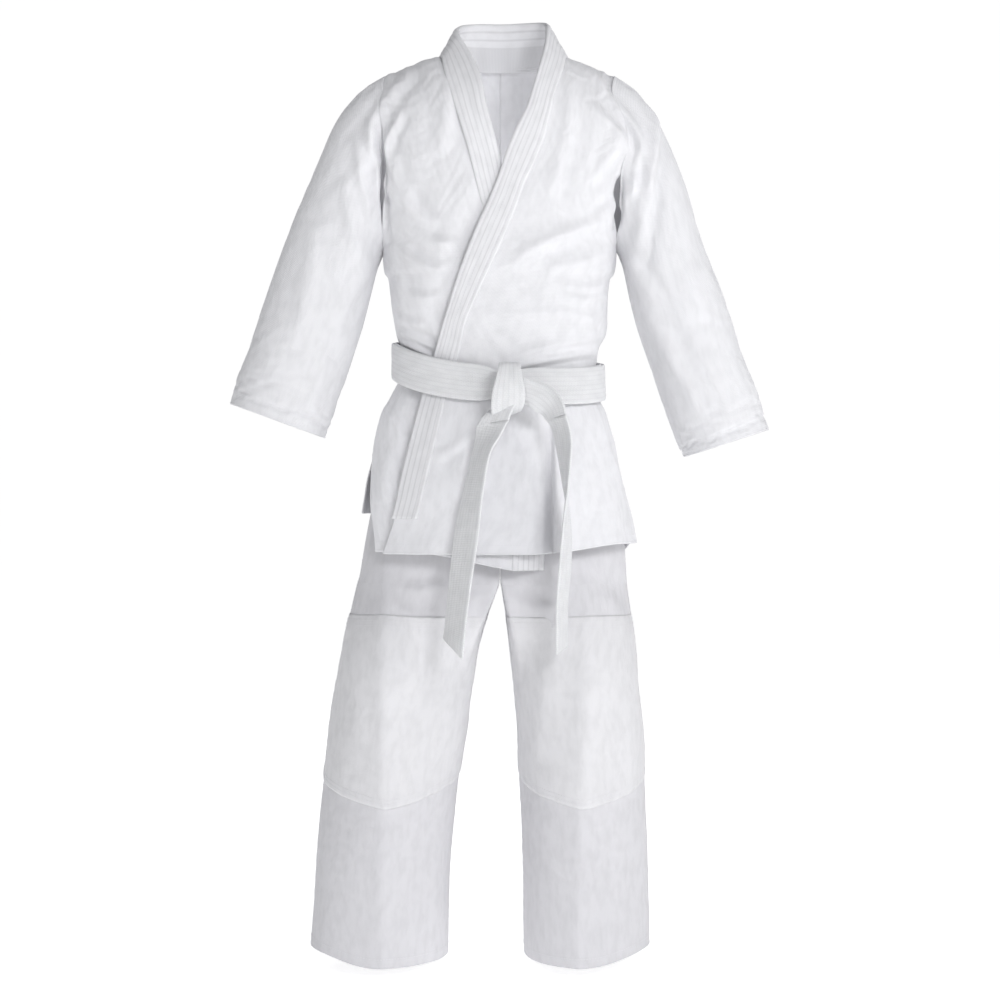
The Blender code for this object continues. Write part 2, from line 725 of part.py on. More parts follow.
def make_drawcord_loop():
    """A small cloth loop on the front of the waistband, for the cord that ties there."""
    face_y = -(read_rows(TROUSER_ROWS, 0.02)[2] + 0.0004)
    staple = ((0.0, 0.014), (-0.004, 0.012), (-0.004, -0.012), (0.0, -0.014),
              (0.0, -0.0115), (-0.0025, -0.0100), (-0.0025, 0.0100), (0.0, 0.0115))
    sections = []
    for x in (-0.005, 0.005):
        sections.append([Vector((x, face_y + y, z)) for y, z in staple])
    add_sweep("drawcord_loop", sections, TROUSER_WHITE)


def make_hips():
    """The trouser panels from the waistband to the tops of the legs, seamed front and back."""
    levels = (-0.237, -0.205, -0.172, -0.132, -0.090, -0.0465, -0.0195)
    seam = math.radians(0.15)
    for side, word, start in ((1, "left", 0.0), (-1, "right", math.pi)):
        grid = []
        for z in levels:
            row = read_rows(TROUSER_ROWS, z)
            angles = spaced(start + seam, start + math.pi - seam, 15)
            grid.append([outline_point(row, angle, z) for angle in angles])
        add_cloth(word + "_hip", grid, TROUSER_CLOTH, TROUSER_WHITE)


def make_crotch_gusset():
    """A strip that joins front and back between the legs."""
    half_width = 0.020
    half_length = 0.074
    grid = []
    for y in spaced(-half_length, half_length, 9):
        z = -0.2356 + 0.012 * (y / half_length) ** 2
        grid.append([Vector((x, y, z)) for x in spaced(half_width, -half_width, 5)])
    add_cloth("crotch_gusset", grid, TROUSER_CLOTH, TROUSER_WHITE)


def leg_point(side, angle, z, outset=0.0):
    low, high, front, back = read_rows(LEG_ROWS[side], z)
    half = (high - low) / 2
    point = outline_point((half, half, front, back), angle, z, outset)
    point.x += (high + low) / 2
    return point


def make_leg(side):
    """Front and back panels, the turned-up hem and the patch sewn over the knee."""
    levels = (LEG_HEM_Z, -0.600, -0.535, -0.475, -0.414, -0.360, -0.307, -0.270, LEG_TOP_Z)
    seam = math.radians(90.2)
    pieces = []
    for word, first, last in (("front", -math.pi + seam, math.pi - seam), ("back", seam, math.tau - seam)):
        grid = [[leg_point(side, angle, z) for angle in spaced(first, last, 12)] for z in levels]
        pieces.append(add_cloth(side + "_leg_" + word, grid, TROUSER_CLOTH, TROUSER_WHITE))
    hem = [[leg_point(side, math.tau * i / 28, z, -0.0036) for i in range(28)]
           for z in spaced(LEG_HEM_Z, LEG_HEM_Z + 0.022, 2)]
    pieces.append(add_cloth(side + "_leg_hem", hem, FACING_CLOTH, TROUSER_WHITE, closed=True))
    patch = []
    for share in spaced(0.0, 1.0, 7):
        row = []
        for angle in spaced(-KNEE_PATCH_HALF_ANGLE, KNEE_PATCH_HALF_ANGLE, 11):
            middle = 1.0 - abs(angle) / KNEE_PATCH_HALF_ANGLE
            bottom = KNEE_PATCH_SIDE_Z - KNEE_PATCH_POINT_DROP * middle
            z = bottom + (KNEE_PATCH_TOP_Z - bottom) * share
            row.append(leg_point(side, angle, z, KNEE_PATCH_PROUD))
        patch.append(row)
    pieces.append(add_cloth(side + "_knee_patch", patch, TROUSER_CLOTH, PATCH_WHITE))
    return pieces


# ------------------------------------------------------------------ joints

def hang_on(name, place, pieces, parent=None):
    """An empty on a joint's axis that carries the pieces of one moving body."""
    pivot = bpy.data.objects.new(name, None)
    bpy.context.scene.collection.objects.link(pivot)
    pivot.parent = parent
    pivot.location = place - parent.location if parent else place
    for piece in pieces:
        piece.data.transform(Matrix.Translation(-place))
        piece.parent = pivot
    return pivot


def build():
    clear_scene()
    make_waistband()
    make_drawcord_loop()
    make_hips()
    make_crotch_gusset()
    make_jacket_body()
    make_shoulder_linings()
    make_collar()
    belt_turn("belt_inner_turn", BELT_CLEARANCE, 0.0)
    belt_turn("belt_outer_turn", BELT_CLEARANCE + BELT_THICKNESS + 0.0008, -0.0004)
    make_knot()
    for side, sign in (("left", 1), ("right", -1)):
        shoulder = Vector((sign * (ARMHOLE_X + 0.0003), 0.0, SHOULDER_PIVOT_Z))
        hang_on(side + "_sleeve_pivot", shoulder, make_sleeve(side))
        outer_x = LEG_ROWS[side][0][2] if sign > 0 else LEG_ROWS[side][0][1]
        hip = Vector((outer_x, 0.0, LEG_TOP_Z))
        hang_on(side + "_leg_pivot", hip, make_leg(side))
    front = hang_on("front_skirt_pivot", FRONT_PIVOT, make_front_skirt())
    hang_on("right_tail_pivot", FRONT_PIVOT, make_tail("right"), front)
    hang_on("left_tail_pivot", FRONT_PIVOT, make_tail("left"), front)
    hang_on("back_skirt_pivot", BACK_PIVOT, make_back_skirt())
    bpy.context.view_layer.update()


build()
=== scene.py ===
import math

import bmesh
import bpy
import numpy as np
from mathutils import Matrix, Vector


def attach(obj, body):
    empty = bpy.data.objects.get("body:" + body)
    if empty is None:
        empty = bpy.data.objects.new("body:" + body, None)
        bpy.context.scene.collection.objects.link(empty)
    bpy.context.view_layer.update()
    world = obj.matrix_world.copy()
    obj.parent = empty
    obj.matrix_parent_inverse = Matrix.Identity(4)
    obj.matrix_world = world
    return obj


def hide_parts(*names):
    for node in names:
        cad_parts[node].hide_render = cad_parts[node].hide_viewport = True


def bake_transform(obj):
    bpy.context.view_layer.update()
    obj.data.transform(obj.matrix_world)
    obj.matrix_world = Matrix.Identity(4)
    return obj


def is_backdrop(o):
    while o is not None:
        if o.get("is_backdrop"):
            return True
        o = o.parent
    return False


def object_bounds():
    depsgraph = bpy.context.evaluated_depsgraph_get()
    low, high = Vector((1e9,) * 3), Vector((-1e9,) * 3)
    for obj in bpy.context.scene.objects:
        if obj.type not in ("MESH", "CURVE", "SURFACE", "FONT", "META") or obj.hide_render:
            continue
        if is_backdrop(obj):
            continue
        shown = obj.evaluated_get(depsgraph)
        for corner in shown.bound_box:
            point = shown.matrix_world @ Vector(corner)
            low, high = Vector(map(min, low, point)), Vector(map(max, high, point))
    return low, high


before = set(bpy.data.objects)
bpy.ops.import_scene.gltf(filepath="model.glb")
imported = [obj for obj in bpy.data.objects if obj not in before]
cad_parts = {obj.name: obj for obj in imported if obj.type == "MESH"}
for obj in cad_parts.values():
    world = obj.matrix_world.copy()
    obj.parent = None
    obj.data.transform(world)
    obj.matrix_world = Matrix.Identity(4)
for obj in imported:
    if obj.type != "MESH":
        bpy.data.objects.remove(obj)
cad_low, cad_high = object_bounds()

# ---------------------------------------------------------------- studio
# The outfit hangs as if worn, just above a white floor in a white room.
# Broad lamps from the right and the front model the folds, one lights the back, and a small
# one lights the lining inside the neck.

VIEW_HEIGHT = -0.1456
VIEW_DISTANCE = 2.1
VIEW_WIDTH = 1.12
FLOOR_DROP = 0.012
ROOM_RADIUS = 14.0
OUTFIT_MIDDLE = (0.0, 0.0, -0.1)

camera_data = bpy.data.cameras.new("camera")
camera_data.lens = camera_data.sensor_width * VIEW_DISTANCE / VIEW_WIDTH
camera = bpy.data.objects.new("camera", camera_data)
camera.location = (0.0, -VIEW_DISTANCE, VIEW_HEIGHT)
camera.rotation_euler = (math.radians(90), 0.0, 0.0)
bpy.context.scene.collection.objects.link(camera)
bpy.context.scene.camera = camera
bpy.context.scene.view_settings.view_transform = "Standard"


def soft_lamp(name, place, size, power, colour, target=OUTFIT_MIDDLE):
    """A square lamp that faces its target, which is the middle of the outfit for most."""
    data = bpy.data.lights.new(name, "AREA")
    data.size = size
    data.energy = power
    data.color = colour
    lamp = bpy.data.objects.new(name, data)
    lamp.location = place
    lamp.visible_camera = False
    aim = Vector(target) - Vector(place)
    lamp.rotation_euler = aim.to_track_quat("-Z", "Y").to_euler()
    bpy.context.scene.collection.objects.link(lamp)


soft_lamp("key_lamp", (2.1, -1.3, 0.9), 0.9, 9.0, (1.0, 0.99, 0.98))
soft_lamp("front_lamp", (1.0, -2.3, 1.0), 0.8, 27.0, (0.98, 0.98, 1.0))
soft_lamp("back_lamp", (-1.3, 2.3, 0.7), 0.9, 14.0, (0.98, 0.98, 1.0))
soft_lamp("neck_lamp", (0.0, -0.03, 0.19), 0.08, 0.13, (0.98, 0.98, 1.0), (0.0, 0.06, 0.34))

world = bpy.data.worlds.new("room_light")
world.use_nodes = True
world.node_tree.nodes["Background"].inputs["Color"].default_value = (0.97, 0.98, 1.0, 1.0)
world.node_tree.nodes["Background"].inputs["Strength"].default_value = 0.30
bpy.context.scene.world = world


def room_material(name, colour, glow):
    """Matt white with a little light of its own, so that no edge of the room shows."""
    material = bpy.data.materials.new(name)
    material.use_nodes = True
    shader = material.node_tree.nodes["Principled BSDF"]
    shader.inputs["Base Color"].default_value = (*colour, 1.0)
    shader.inputs["Roughness"].default_value = 0.9
    shader.inputs["Emission Color"].default_value = (1.0, 1.0, 1.0, 1.0)
    shader.inputs["Emission Strength"].default_value = glow
    return material


bpy.ops.mesh.primitive_circle_add(vertices=96, radius=ROOM_RADIUS, fill_type="NGON")
floor = bpy.context.object
floor.name = "floor"
floor.location.z = cad_low.z - FLOOR_DROP
floor.data.materials.append(room_material("floor_white", (0.95, 0.95, 0.95), 0.73))
floor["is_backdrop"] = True

bpy.ops.mesh.primitive_uv_sphere_add(segments=64, ring_count=32, radius=ROOM_RADIUS)
room = bpy.context.object
room.name = "room"
room.data.materials.append(room_material("room_white", (0.0, 0.0, 0.0), 1.0))
room.visible_diffuse = False
room.visible_glossy = False
room.visible_transmission = False
room.visible_shadow = False
room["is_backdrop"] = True


# ---------------------------------------------------------------- trousers
# Wide cotton trousers: each leg is one panel wrapped round from the centre front
# to the centre back, closed down the inside below the crotch.

TROUSER_CLOTH = 0.0012
LEG_BEND_START = (0, 0, -0.19)
LEG_BEND_END = (0, 0, -0.33)
LEG_TOP_Z = -0.2376
LEG_HEM_Z = -0.650
WAIST_Z = -0.016
ROUNDNESS = 0.87

# Hips from the crotch up: level, reach to the wearer's right and left, depth in front and behind.
HIP_ROWS = (
    (-0.237, 0.1580, 0.1420, 0.076, 0.096),
    (-0.172, 0.1470, 0.1370, 0.068, 0.088),
    (-0.132, 0.1370, 0.1250, 0.062, 0.080),
    (-0.090, 0.1240, 0.1120, 0.058, 0.070),
    (-0.0465, 0.1070, 0.0990, 0.055, 0.062),
    (-0.0195, 0.0990, 0.0970, 0.053, 0.057),
    (0.020, 0.0980, 0.0960, 0.052, 0.055),
)
# Legs from the hem up: level, smaller and larger x, depth in front and behind.
LEG_ROWS = {
    "right": (
        (-0.650, -0.2106, -0.0590, 0.074, 0.076),
        (-0.535, -0.2040, -0.0550, 0.075, 0.077),
        (-0.414, -0.1915, -0.0410, 0.078, 0.081),
        (-0.307, -0.1750, -0.0240, 0.080, 0.086),
        (-0.2376, -0.1590, -0.0012, 0.076, 0.096),
    ),
    "left": (
        (-0.650, 0.0280, 0.1670, 0.074, 0.076),
        (-0.535, 0.0246, 0.1635, 0.075, 0.077),
        (-0.414, 0.0200, 0.1590, 0.078, 0.081),
        (-0.307, 0.0120, 0.1490, 0.080, 0.086),
        (-0.2376, 0.0012, 0.1420, 0.076, 0.096),
    ),
}


def ease(value):
    """A soft step from 0 to 1."""
    value = np.clip(value, 0.0, 1.0)
    return value * value * (3.0 - 2.0 * value)


def signed_power(value, exponent):
    """A power that keeps the sign, which squares the corners of a round outline."""
    return np.sign(value) * np.abs(value) ** exponent


def through(stops, count):
    """A smooth run of points through a few stops."""
    stops = np.asarray(stops, float)
    ends = np.vstack([2 * stops[0] - stops[1], stops, 2 * stops[-1] - stops[-2]])
    place = np.linspace(0, len(stops) - 1, count)
    k = np.minimum(place.astype(int), len(stops) - 2)
    t = (place - k)[:, None]
    a, b, c, d = (ends[k + i] for i in range(4))
    return b + 0.5 * t * (c - a + t * (2 * a - 5 * b + 4 * c - d + t * (3 * (b - c) + d - a)))


OUTLINE_STEPS = 160


def sizes_at(rows, z):
    """The sizes of an outline at a level, read smoothly between the rows."""
    fine = through(rows, OUTLINE_STEPS)
    return [np.interp(z, fine[:, 0], fine[:, k]) for k in range(1, fine.shape[1])]


def outline(sizes, angle, outset=0.0):
    """X and Y on a rounded outline. Angle 0 is the front and 90 degrees the wearer's left."""
    right, left, front, back = sizes
    across = np.sin(angle)
    ahead = np.cos(angle)
    wide = np.where(across > 0, left, right) + outset
    deep = np.where(ahead > 0, front, back) + outset
    return wide * signed_power(across, ROUNDNESS), -deep * signed_power(ahead, ROUNDNESS)


def outward(points, closed=False):
    """The normal at each point of a grid."""
    if closed:
        wide = np.concatenate([points[:, -1:], points, points[:, :1]], axis=1)
        across = wide[:, 2:] - wide[:, :-2]
    else:
        across = np.gradient(points, axis=1)
    up = np.gradient(points, axis=0)
    normal = np.cross(across, up)
    return normal / np.maximum(np.linalg.norm(normal, axis=2, keepdims=True), 1e-9)


def soft_noise(shape, rows, columns, seed):
    """A smooth random field, with bumps about so many grid rows and columns long."""
    field = np.random.default_rng(seed).standard_normal(shape)
    fy = np.fft.fftfreq(shape[0])[:, None]
    fx = np.fft.fftfreq(shape[1])[None, :]
    keep = np.exp(-((fy * rows) ** 2 + (fx * columns) ** 2) * 2.0)
    field = np.real(np.fft.ifft2(np.fft.fft2(field) * keep))
    return field / field.std()


def fold_height(points, folds):
    """How far soft folds lift the cloth. A fold is a line of (x, z) stops, its half width,
    its height, and how deep a hollow runs along its right side when one walks down the line."""
    flat = points[..., (0, 2)]
    lift = np.zeros(points.shape[:2])
    for stops, width, height, hollow in folds:
        line = through(stops, 4 * len(stops)) if len(stops) > 2 else np.asarray(stops, float)
        nearest = np.full(points.shape[:2], 1e9)
        side = np.zeros(points.shape[:2])
        place = np.zeros(points.shape[:2])
        for k in range(len(line) - 1):
            step = line[k + 1] - line[k]
            t = np.clip(((flat - line[k]) @ step) / (step @ step), 0.0, 1.0)
            away = flat - line[k] - t[..., None] * step
            distance = np.linalg.norm(away, axis=-1)
            turn = np.sign(away[..., 0] * step[1] - away[..., 1] * step[0])
            closer = distance < nearest
            nearest = np.where(closer, distance, nearest)
            side = np.where(closer, -turn, side)
            place = np.where(closer, (k + t) / (len(line) - 1), place)
        fade = np.sin(np.pi * place) ** 0.7
        offset = side * nearest / width
        lift += height * fade * (np.exp(-offset ** 2) - hollow * np.exp(-(offset - 1.5) ** 2))
    return lift


def add_folds(points, folds, closed=False, facing=-1, strength=1.0):
    """Folds on the side of a piece that faces the front (-1) or the back (+1)."""
    normal = outward(points, closed)
    share = ease(facing * normal[..., 1] * 1.6)
    return points + normal * (strength * fold_height(points, folds) * share)[..., None]


def crumple(points, height, rows, columns, seed, closed=False):
    """Faint unevenness, as in cloth that has been folded and hung."""
    normal = outward(points, closed)
    field = soft_noise(points.shape[:2], rows, columns, seed)
    return points + normal * (height * field)[..., None]


def lengths(points):
    """Distance walked along a row of points, from 0."""
    return np.concatenate([[0.0], np.cumsum(np.linalg.norm(np.diff(points, axis=0), axis=1))])


def quads(rows, columns, closed):
    """The corners of each quad over a grid of points, row by row."""
    faces = []
    for r in range(rows - 1):
        for c in range(columns if closed else columns - 1):
            d = (c + 1) % columns
            faces.append((r * columns + c, r * columns + d, (r + 1) * columns + d, (r + 1) * columns + c))
    return faces


def grid_mesh(name, points, closed=False):
    """A quad mesh over a grid of points, with a UV map in metres."""
    rows, columns = points.shape[:2]
    mesh = bpy.data.meshes.new(name)
    mesh.from_pydata(points.reshape(-1, 3).tolist(), [], quads(rows, columns, closed))
    middle = points[rows // 2]
    u = lengths(np.vstack([middle, middle[:1]]) if closed else middle)
    v = lengths(points[:, columns // 3])
    corners = []
    for r in range(rows - 1):
        for c in range(len(u) - 1):
            corners += [u[c], v[r], u[c + 1], v[r], u[c + 1], v[r + 1], u[c], v[r + 1]]
    mesh.uv_layers.new(name="UVMap").data.foreach_set("uv", np.array(corners, np.float32))
    mesh.polygons.foreach_set("use_smooth", [True] * len(mesh.polygons))
    mesh.update()
    return mesh


def add_piece(name, mesh, material):
    """An object for a mesh, in the scene and in its material."""
    piece = bpy.data.objects.new(name, mesh)
    bpy.context.scene.collection.objects.link(piece)
    if material:
        mesh.materials.append(material)
    return piece


def finish_cloth(piece, thickness, smooth=1):
    """Rounds a cloth piece by subdivision and gives it its thickness inwards."""
    if smooth:
        rounded = piece.modifiers.new("Rounded", "SUBSURF")
        rounded.levels = smooth
        rounded.render_levels = smooth
    wall = piece.modifiers.new("Thickness", "SOLIDIFY")
    wall.thickness = thickness
    wall.offset = -1.0


def add_cloth(name, points, thickness, material, closed=False, smooth=1):
    """A cloth piece over a grid of points."""
    piece = add_piece(name, grid_mesh(name, points, closed), material)
    finish_cloth(piece, thickness, smooth)
    return piece


HANG_FRAMES = 14


def hang(points, held, slack, most, closed=False):
    """Lets the cloth hang for a moment, a little larger than it was cut, so that it creases.
    held is how firmly each point keeps its place, from 0 to 1, and most is how far one moves."""
    name = "hanging"
    piece = add_piece(name, grid_mesh(name, points, closed), None)
    group = piece.vertex_groups.new(name="held")
    for i, weight in enumerate(held.ravel()):
        group.add([i], float(weight), "REPLACE")
    cloth = piece.modifiers.new("Hang", "CLOTH")
    cloth.settings.quality = 5
    cloth.settings.mass = 0.12
    cloth.settings.tension_stiffness = 18.0
    cloth.settings.compression_stiffness = 18.0
    cloth.settings.shear_stiffness = 8.0
    cloth.settings.bending_stiffness = 4.0
    cloth.settings.vertex_group_mass = "held"
    cloth.settings.pin_stiffness = 0.9
    cloth.settings.shrink_min = -slack
    cloth.point_cache.frame_start = 1
    cloth.point_cache.frame_end = HANG_FRAMES
    scene = bpy.context.scene
    for number in range(1, HANG_FRAMES + 1):
        scene.frame_set(number)
    shape = piece.evaluated_get(bpy.context.evaluated_depsgraph_get()).to_mesh()
    moved = np.zeros(points.size, np.float32)
    shape.vertices.foreach_get("co", moved)
    moved = moved.reshape(points.shape).astype(float)
    bpy.data.objects.remove(piece)
    scene.frame_set(1)
    step = moved - points
    size = np.linalg.norm(step, axis=2, keepdims=True)
    return points + step * np.minimum(1.0, most / np.maximum(size, 1e-9))


# A weave: its kind, the length and height of a grain or rib, and its relief.
DRILL = ("drill", 0.0012, 0.0011, 0.00022)
RICE_GRAIN = ("rice", 0.0030, 0.0015, 0.00022)
UNEVEN_COLOUR = 0.03


def woven_cotton(name, colour, weave, grain_length, grain_height, depth, row_pitch=0.0, row_shade=0.8):
    """Matt white cotton. The weave is staggered grains ("rice"), slanting ribs ("drill") or
    close ribs along the strip ("rib"), with faint unevenness of colour, painted shade between the threads and
    a fuzzy surface.
    With a row pitch, painted shade darkens the colour in the hollows along the sewn rows of a strip."""
    material = bpy.data.materials.new(name)
    material.use_nodes = True
    nodes = material.node_tree.nodes
    links = material.node_tree.links
    nodes.clear()

    output = nodes.new("ShaderNodeOutputMaterial")
    output.label = "Cloth surface"
    output.location = (900, 0)
    shader = nodes.new("ShaderNodeBsdfPrincipled")
    shader.label = "Matt cotton"
    shader.location = (600, 0)
    shader.inputs["Specular IOR Level"].default_value = 0.25
    shader.inputs["Sheen Weight"].default_value = 0.12
    shader.inputs["Sheen Roughness"].default_value = 0.6
    links.new(shader.outputs["BSDF"], output.inputs["Surface"])
    metres = nodes.new("ShaderNodeTexCoord")
    metres.label = "Metres along the cloth"
    metres.location = (-900, 0)

    weave_frame = nodes.new("NodeFrame")
    weave_frame.label = "Weave"
    turn = nodes.new("ShaderNodeMapping")
    turn.label = "Thread direction"
    turn.inputs["Rotation"].default_value = (0.0, 0.0, math.radians(35) if weave == "drill" else 0.0)
    links.new(metres.outputs["UV"], turn.inputs["Vector"])
    if weave == "rice":
        threads = nodes.new("ShaderNodeTexBrick")
        threads.label = "Staggered rice grains"
        threads.offset = 0.5
        threads.inputs["Scale"].default_value = 1.0
        threads.inputs["Mortar Size"].default_value = grain_height * 0.22
        threads.inputs["Mortar Smooth"].default_value = 1.0
        threads.inputs["Brick Width"].default_value = grain_length
        threads.inputs["Row Height"].default_value = grain_height
    else:
        threads = nodes.new("ShaderNodeTexWave")
        threads.label = "Ribs"
        threads.bands_direction = "Y" if weave == "rib" else "X"
        threads.inputs["Scale"].default_value = 0.314 / grain_height
        threads.inputs["Distortion"].default_value = 0.6
        threads.inputs["Detail"].default_value = 1.0
        threads.inputs["Detail Scale"].default_value = 400.0 * grain_length
    links.new(turn.outputs["Vector"], threads.inputs["Vector"])

    wear_frame = nodes.new("NodeFrame")
    wear_frame.label = "Fibres and washing"
    fuzz = nodes.new("ShaderNodeTexNoise")
    fuzz.label = "Loose fibres"
    fuzz.inputs["Scale"].default_value = 900.0
    fuzz.inputs["Detail"].default_value = 2.0
    links.new(metres.outputs["UV"], fuzz.inputs["Vector"])
    streak = nodes.new("ShaderNodeMapping")
    streak.label = "Longer along the cloth"
    streak.inputs["Scale"].default_value = (1.0, 0.45, 1.0)
    links.new(metres.outputs["UV"], streak.inputs["Vector"])
    pucker = nodes.new("ShaderNodeTexNoise")
    pucker.label = "Washed unevenness"
    pucker.inputs["Scale"].default_value = 110.0
    pucker.inputs["Detail"].default_value = 3.0
    links.new(streak.outputs["Vector"], pucker.inputs["Vector"])
    rough = nodes.new("ShaderNodeMapRange")
    rough.label = "Roughness of fibres"
    rough.inputs["To Min"].default_value = 0.82
    rough.inputs["To Max"].default_value = 0.98
    links.new(fuzz.outputs["Fac"], rough.inputs["Value"])
    links.new(rough.outputs["Result"], shader.inputs["Roughness"])

    relief_frame = nodes.new("NodeFrame")
    relief_frame.label = "Relief"
    washed = nodes.new("ShaderNodeBump")
    washed.label = "Washed relief"
    washed.inputs["Strength"].default_value = 0.5
    washed.inputs["Distance"].default_value = 0.0014
    links.new(pucker.outputs["Fac"], washed.inputs["Height"])
    fuzzy = nodes.new("ShaderNodeBump")
    fuzzy.label = "Fibre relief"
    fuzzy.inputs["Strength"].default_value = 0.5
    fuzzy.inputs["Distance"].default_value = 0.00015
    links.new(fuzz.outputs["Fac"], fuzzy.inputs["Height"])
    links.new(washed.outputs["Normal"], fuzzy.inputs["Normal"])
    woven = nodes.new("ShaderNodeBump")
    woven.label = "Weave relief"
    woven.invert = weave == "rice"
    woven.inputs["Strength"].default_value = 0.8
    woven.inputs["Distance"].default_value = depth
    links.new(threads.outputs["Fac"], woven.inputs["Height"])
    links.new(fuzzy.outputs["Normal"], woven.inputs["Normal"])
    links.new(woven.outputs["Normal"], shader.inputs["Normal"])

    colour_frame = nodes.new("NodeFrame")
    colour_frame.label = "Colour"
    cloudy = nodes.new("ShaderNodeTexNoise")
    cloudy.label = "Cloudy whiteness"
    cloudy.inputs["Scale"].default_value = 14.0
    cloudy.inputs["Detail"].default_value = 4.0
    links.new(metres.outputs["UV"], cloudy.inputs["Vector"])
    white = nodes.new("ShaderNodeMix")
    white.label = "White to slightly grey"
    white.data_type = "RGBA"
    white.inputs["A"].default_value = (*(c * (1.0 - UNEVEN_COLOUR) for c in colour), 1.0)
    white.inputs["B"].default_value = (*(min(1.0, c * (1.0 + UNEVEN_COLOUR * 0.5)) for c in colour), 1.0)
    links.new(cloudy.outputs["Fac"], white.inputs["Factor"])
    dull = nodes.new("ShaderNodeMapRange")
    dull.label = "Where the cloth is duller"
    dull.inputs["From Min"].default_value = 0.42
    dull.inputs["From Max"].default_value = 0.66
    links.new(pucker.outputs["Fac"], dull.inputs["Value"])
    mottled = nodes.new("ShaderNodeMix")
    mottled.label = "Mottled by washing"
    mottled.data_type = "RGBA"
    mottled.blend_type = "MULTIPLY"
    mottled.inputs["B"].default_value = (*[1.0 - 2 * UNEVEN_COLOUR] * 3, 1.0)
    links.new(dull.outputs["Result"], mottled.inputs["Factor"])
    links.new(white.outputs["Result"], mottled.inputs["A"])
    # Painted shade: the colour is made darker in the gaps between the threads, where shade falls among them.
    thread_gap_shade = nodes.new("ShaderNodeMapRange")
    thread_gap_shade.label = "Painted shade in the thread gaps"
    thread_gap_shade.inputs["To Min"].default_value = 0.0 if weave == "rice" else 0.6
    thread_gap_shade.inputs["To Max"].default_value = 0.6 if weave == "rice" else 0.0
    links.new(threads.outputs["Fac"], thread_gap_shade.inputs["Value"])
    shaded = nodes.new("ShaderNodeMix")
    shaded.label = "Painted shade between threads"
    shaded.data_type = "RGBA"
    shaded.blend_type = "MULTIPLY"
    shaded.inputs["B"].default_value = (0.90, 0.90, 0.91, 1.0)
    links.new(thread_gap_shade.outputs["Result"], shaded.inputs["Factor"])
    links.new(mottled.outputs["Result"], shaded.inputs["A"])

    layout = [
        (weave_frame, ((turn, -700, -200), (threads, -450, -200))),
        (wear_frame, ((fuzz, -450, -520), (streak, -700, -800), (pucker, -450, -800), (rough, 100, 0))),
        (relief_frame, ((washed, 0, -700), (fuzzy, 150, -500), (woven, 300, -300))),
        (colour_frame, ((cloudy, -450, 300), (white, -200, 300), (dull, -200, 560), (mottled, 0, 480),
                        (thread_gap_shade, -200, 60), (shaded, 200, 300))),
    ]
    finished = shaded.outputs["Result"]
    # Painted shade: the colour is made darker in the hollows between the sewn rows, where shade falls.
    if row_pitch:
        row_shade_frame = nodes.new("NodeFrame")
        row_shade_frame.label = "Painted shade of sewn rows"
        across = nodes.new("ShaderNodeSeparateXYZ")
        across.label = "Metres across the strip"
        links.new(metres.outputs["UV"], across.inputs["Vector"])
        counted = nodes.new("ShaderNodeMath")
        counted.label = "Rows across"
        counted.operation = "DIVIDE"
        counted.inputs[1].default_value = row_pitch
        links.new(across.outputs["X"], counted.inputs[0])
        away = nodes.new("ShaderNodeMath")
        away.label = "Distance from a sewn line"
        away.operation = "PINGPONG"
        away.inputs[1].default_value = 0.5
        links.new(counted.outputs["Value"], away.inputs[0])
        hollow = nodes.new("ShaderNodeMapRange")
        hollow.label = "Width of the painted shade"
        hollow.interpolation_type = "SMOOTHSTEP"
        hollow.inputs["From Max"].default_value = 0.22
        hollow.inputs["To Min"].default_value = 1.0
        hollow.inputs["To Max"].default_value = 0.0
        links.new(away.outputs["Value"], hollow.inputs["Value"])
        # Multiplies the colour by row_shade near each sewn line: painted shade in the row hollows.
        sewn = nodes.new("ShaderNodeMix")
        sewn.label = "Painted shade in the hollows"
        sewn.data_type = "RGBA"
        sewn.blend_type = "MULTIPLY"
        sewn.inputs["B"].default_value = (row_shade, row_shade, row_shade, 1.0)
        links.new(hollow.outputs["Result"], sewn.inputs["Factor"])
        links.new(finished, sewn.inputs["A"])
        finished = sewn.outputs["Result"]
        layout.append((row_shade_frame, ((across, -700, 800), (counted, -500, 800), (away, -300, 800),
                                    (hollow, -100, 800), (sewn, 300, 700))))
    links.new(finished, shader.inputs["Base Color"])
    for effect, members in layout:
        for member, x, y in members:
            member.parent = effect
            member.location = (x, y)
    return material


trouser_cotton = woven_cotton("trouser_drill", (0.735, 0.73, 0.753), *DRILL)
knee_cotton = woven_cotton("knee_patch_drill", (0.80, 0.797, 0.812), *DRILL)

OUTER_COLUMNS = 82
INNER_COLUMNS = 22
LEG_RING_START = math.radians(-58)
LEG_RING_TURN = math.radians(296)
LEG_LEVELS = 84
HIP_LEVELS = 36
HEM_LIFT_Z = -0.560
HEM_LIFT = 0.012
HEM_LIFT_WIDTH = 0.075


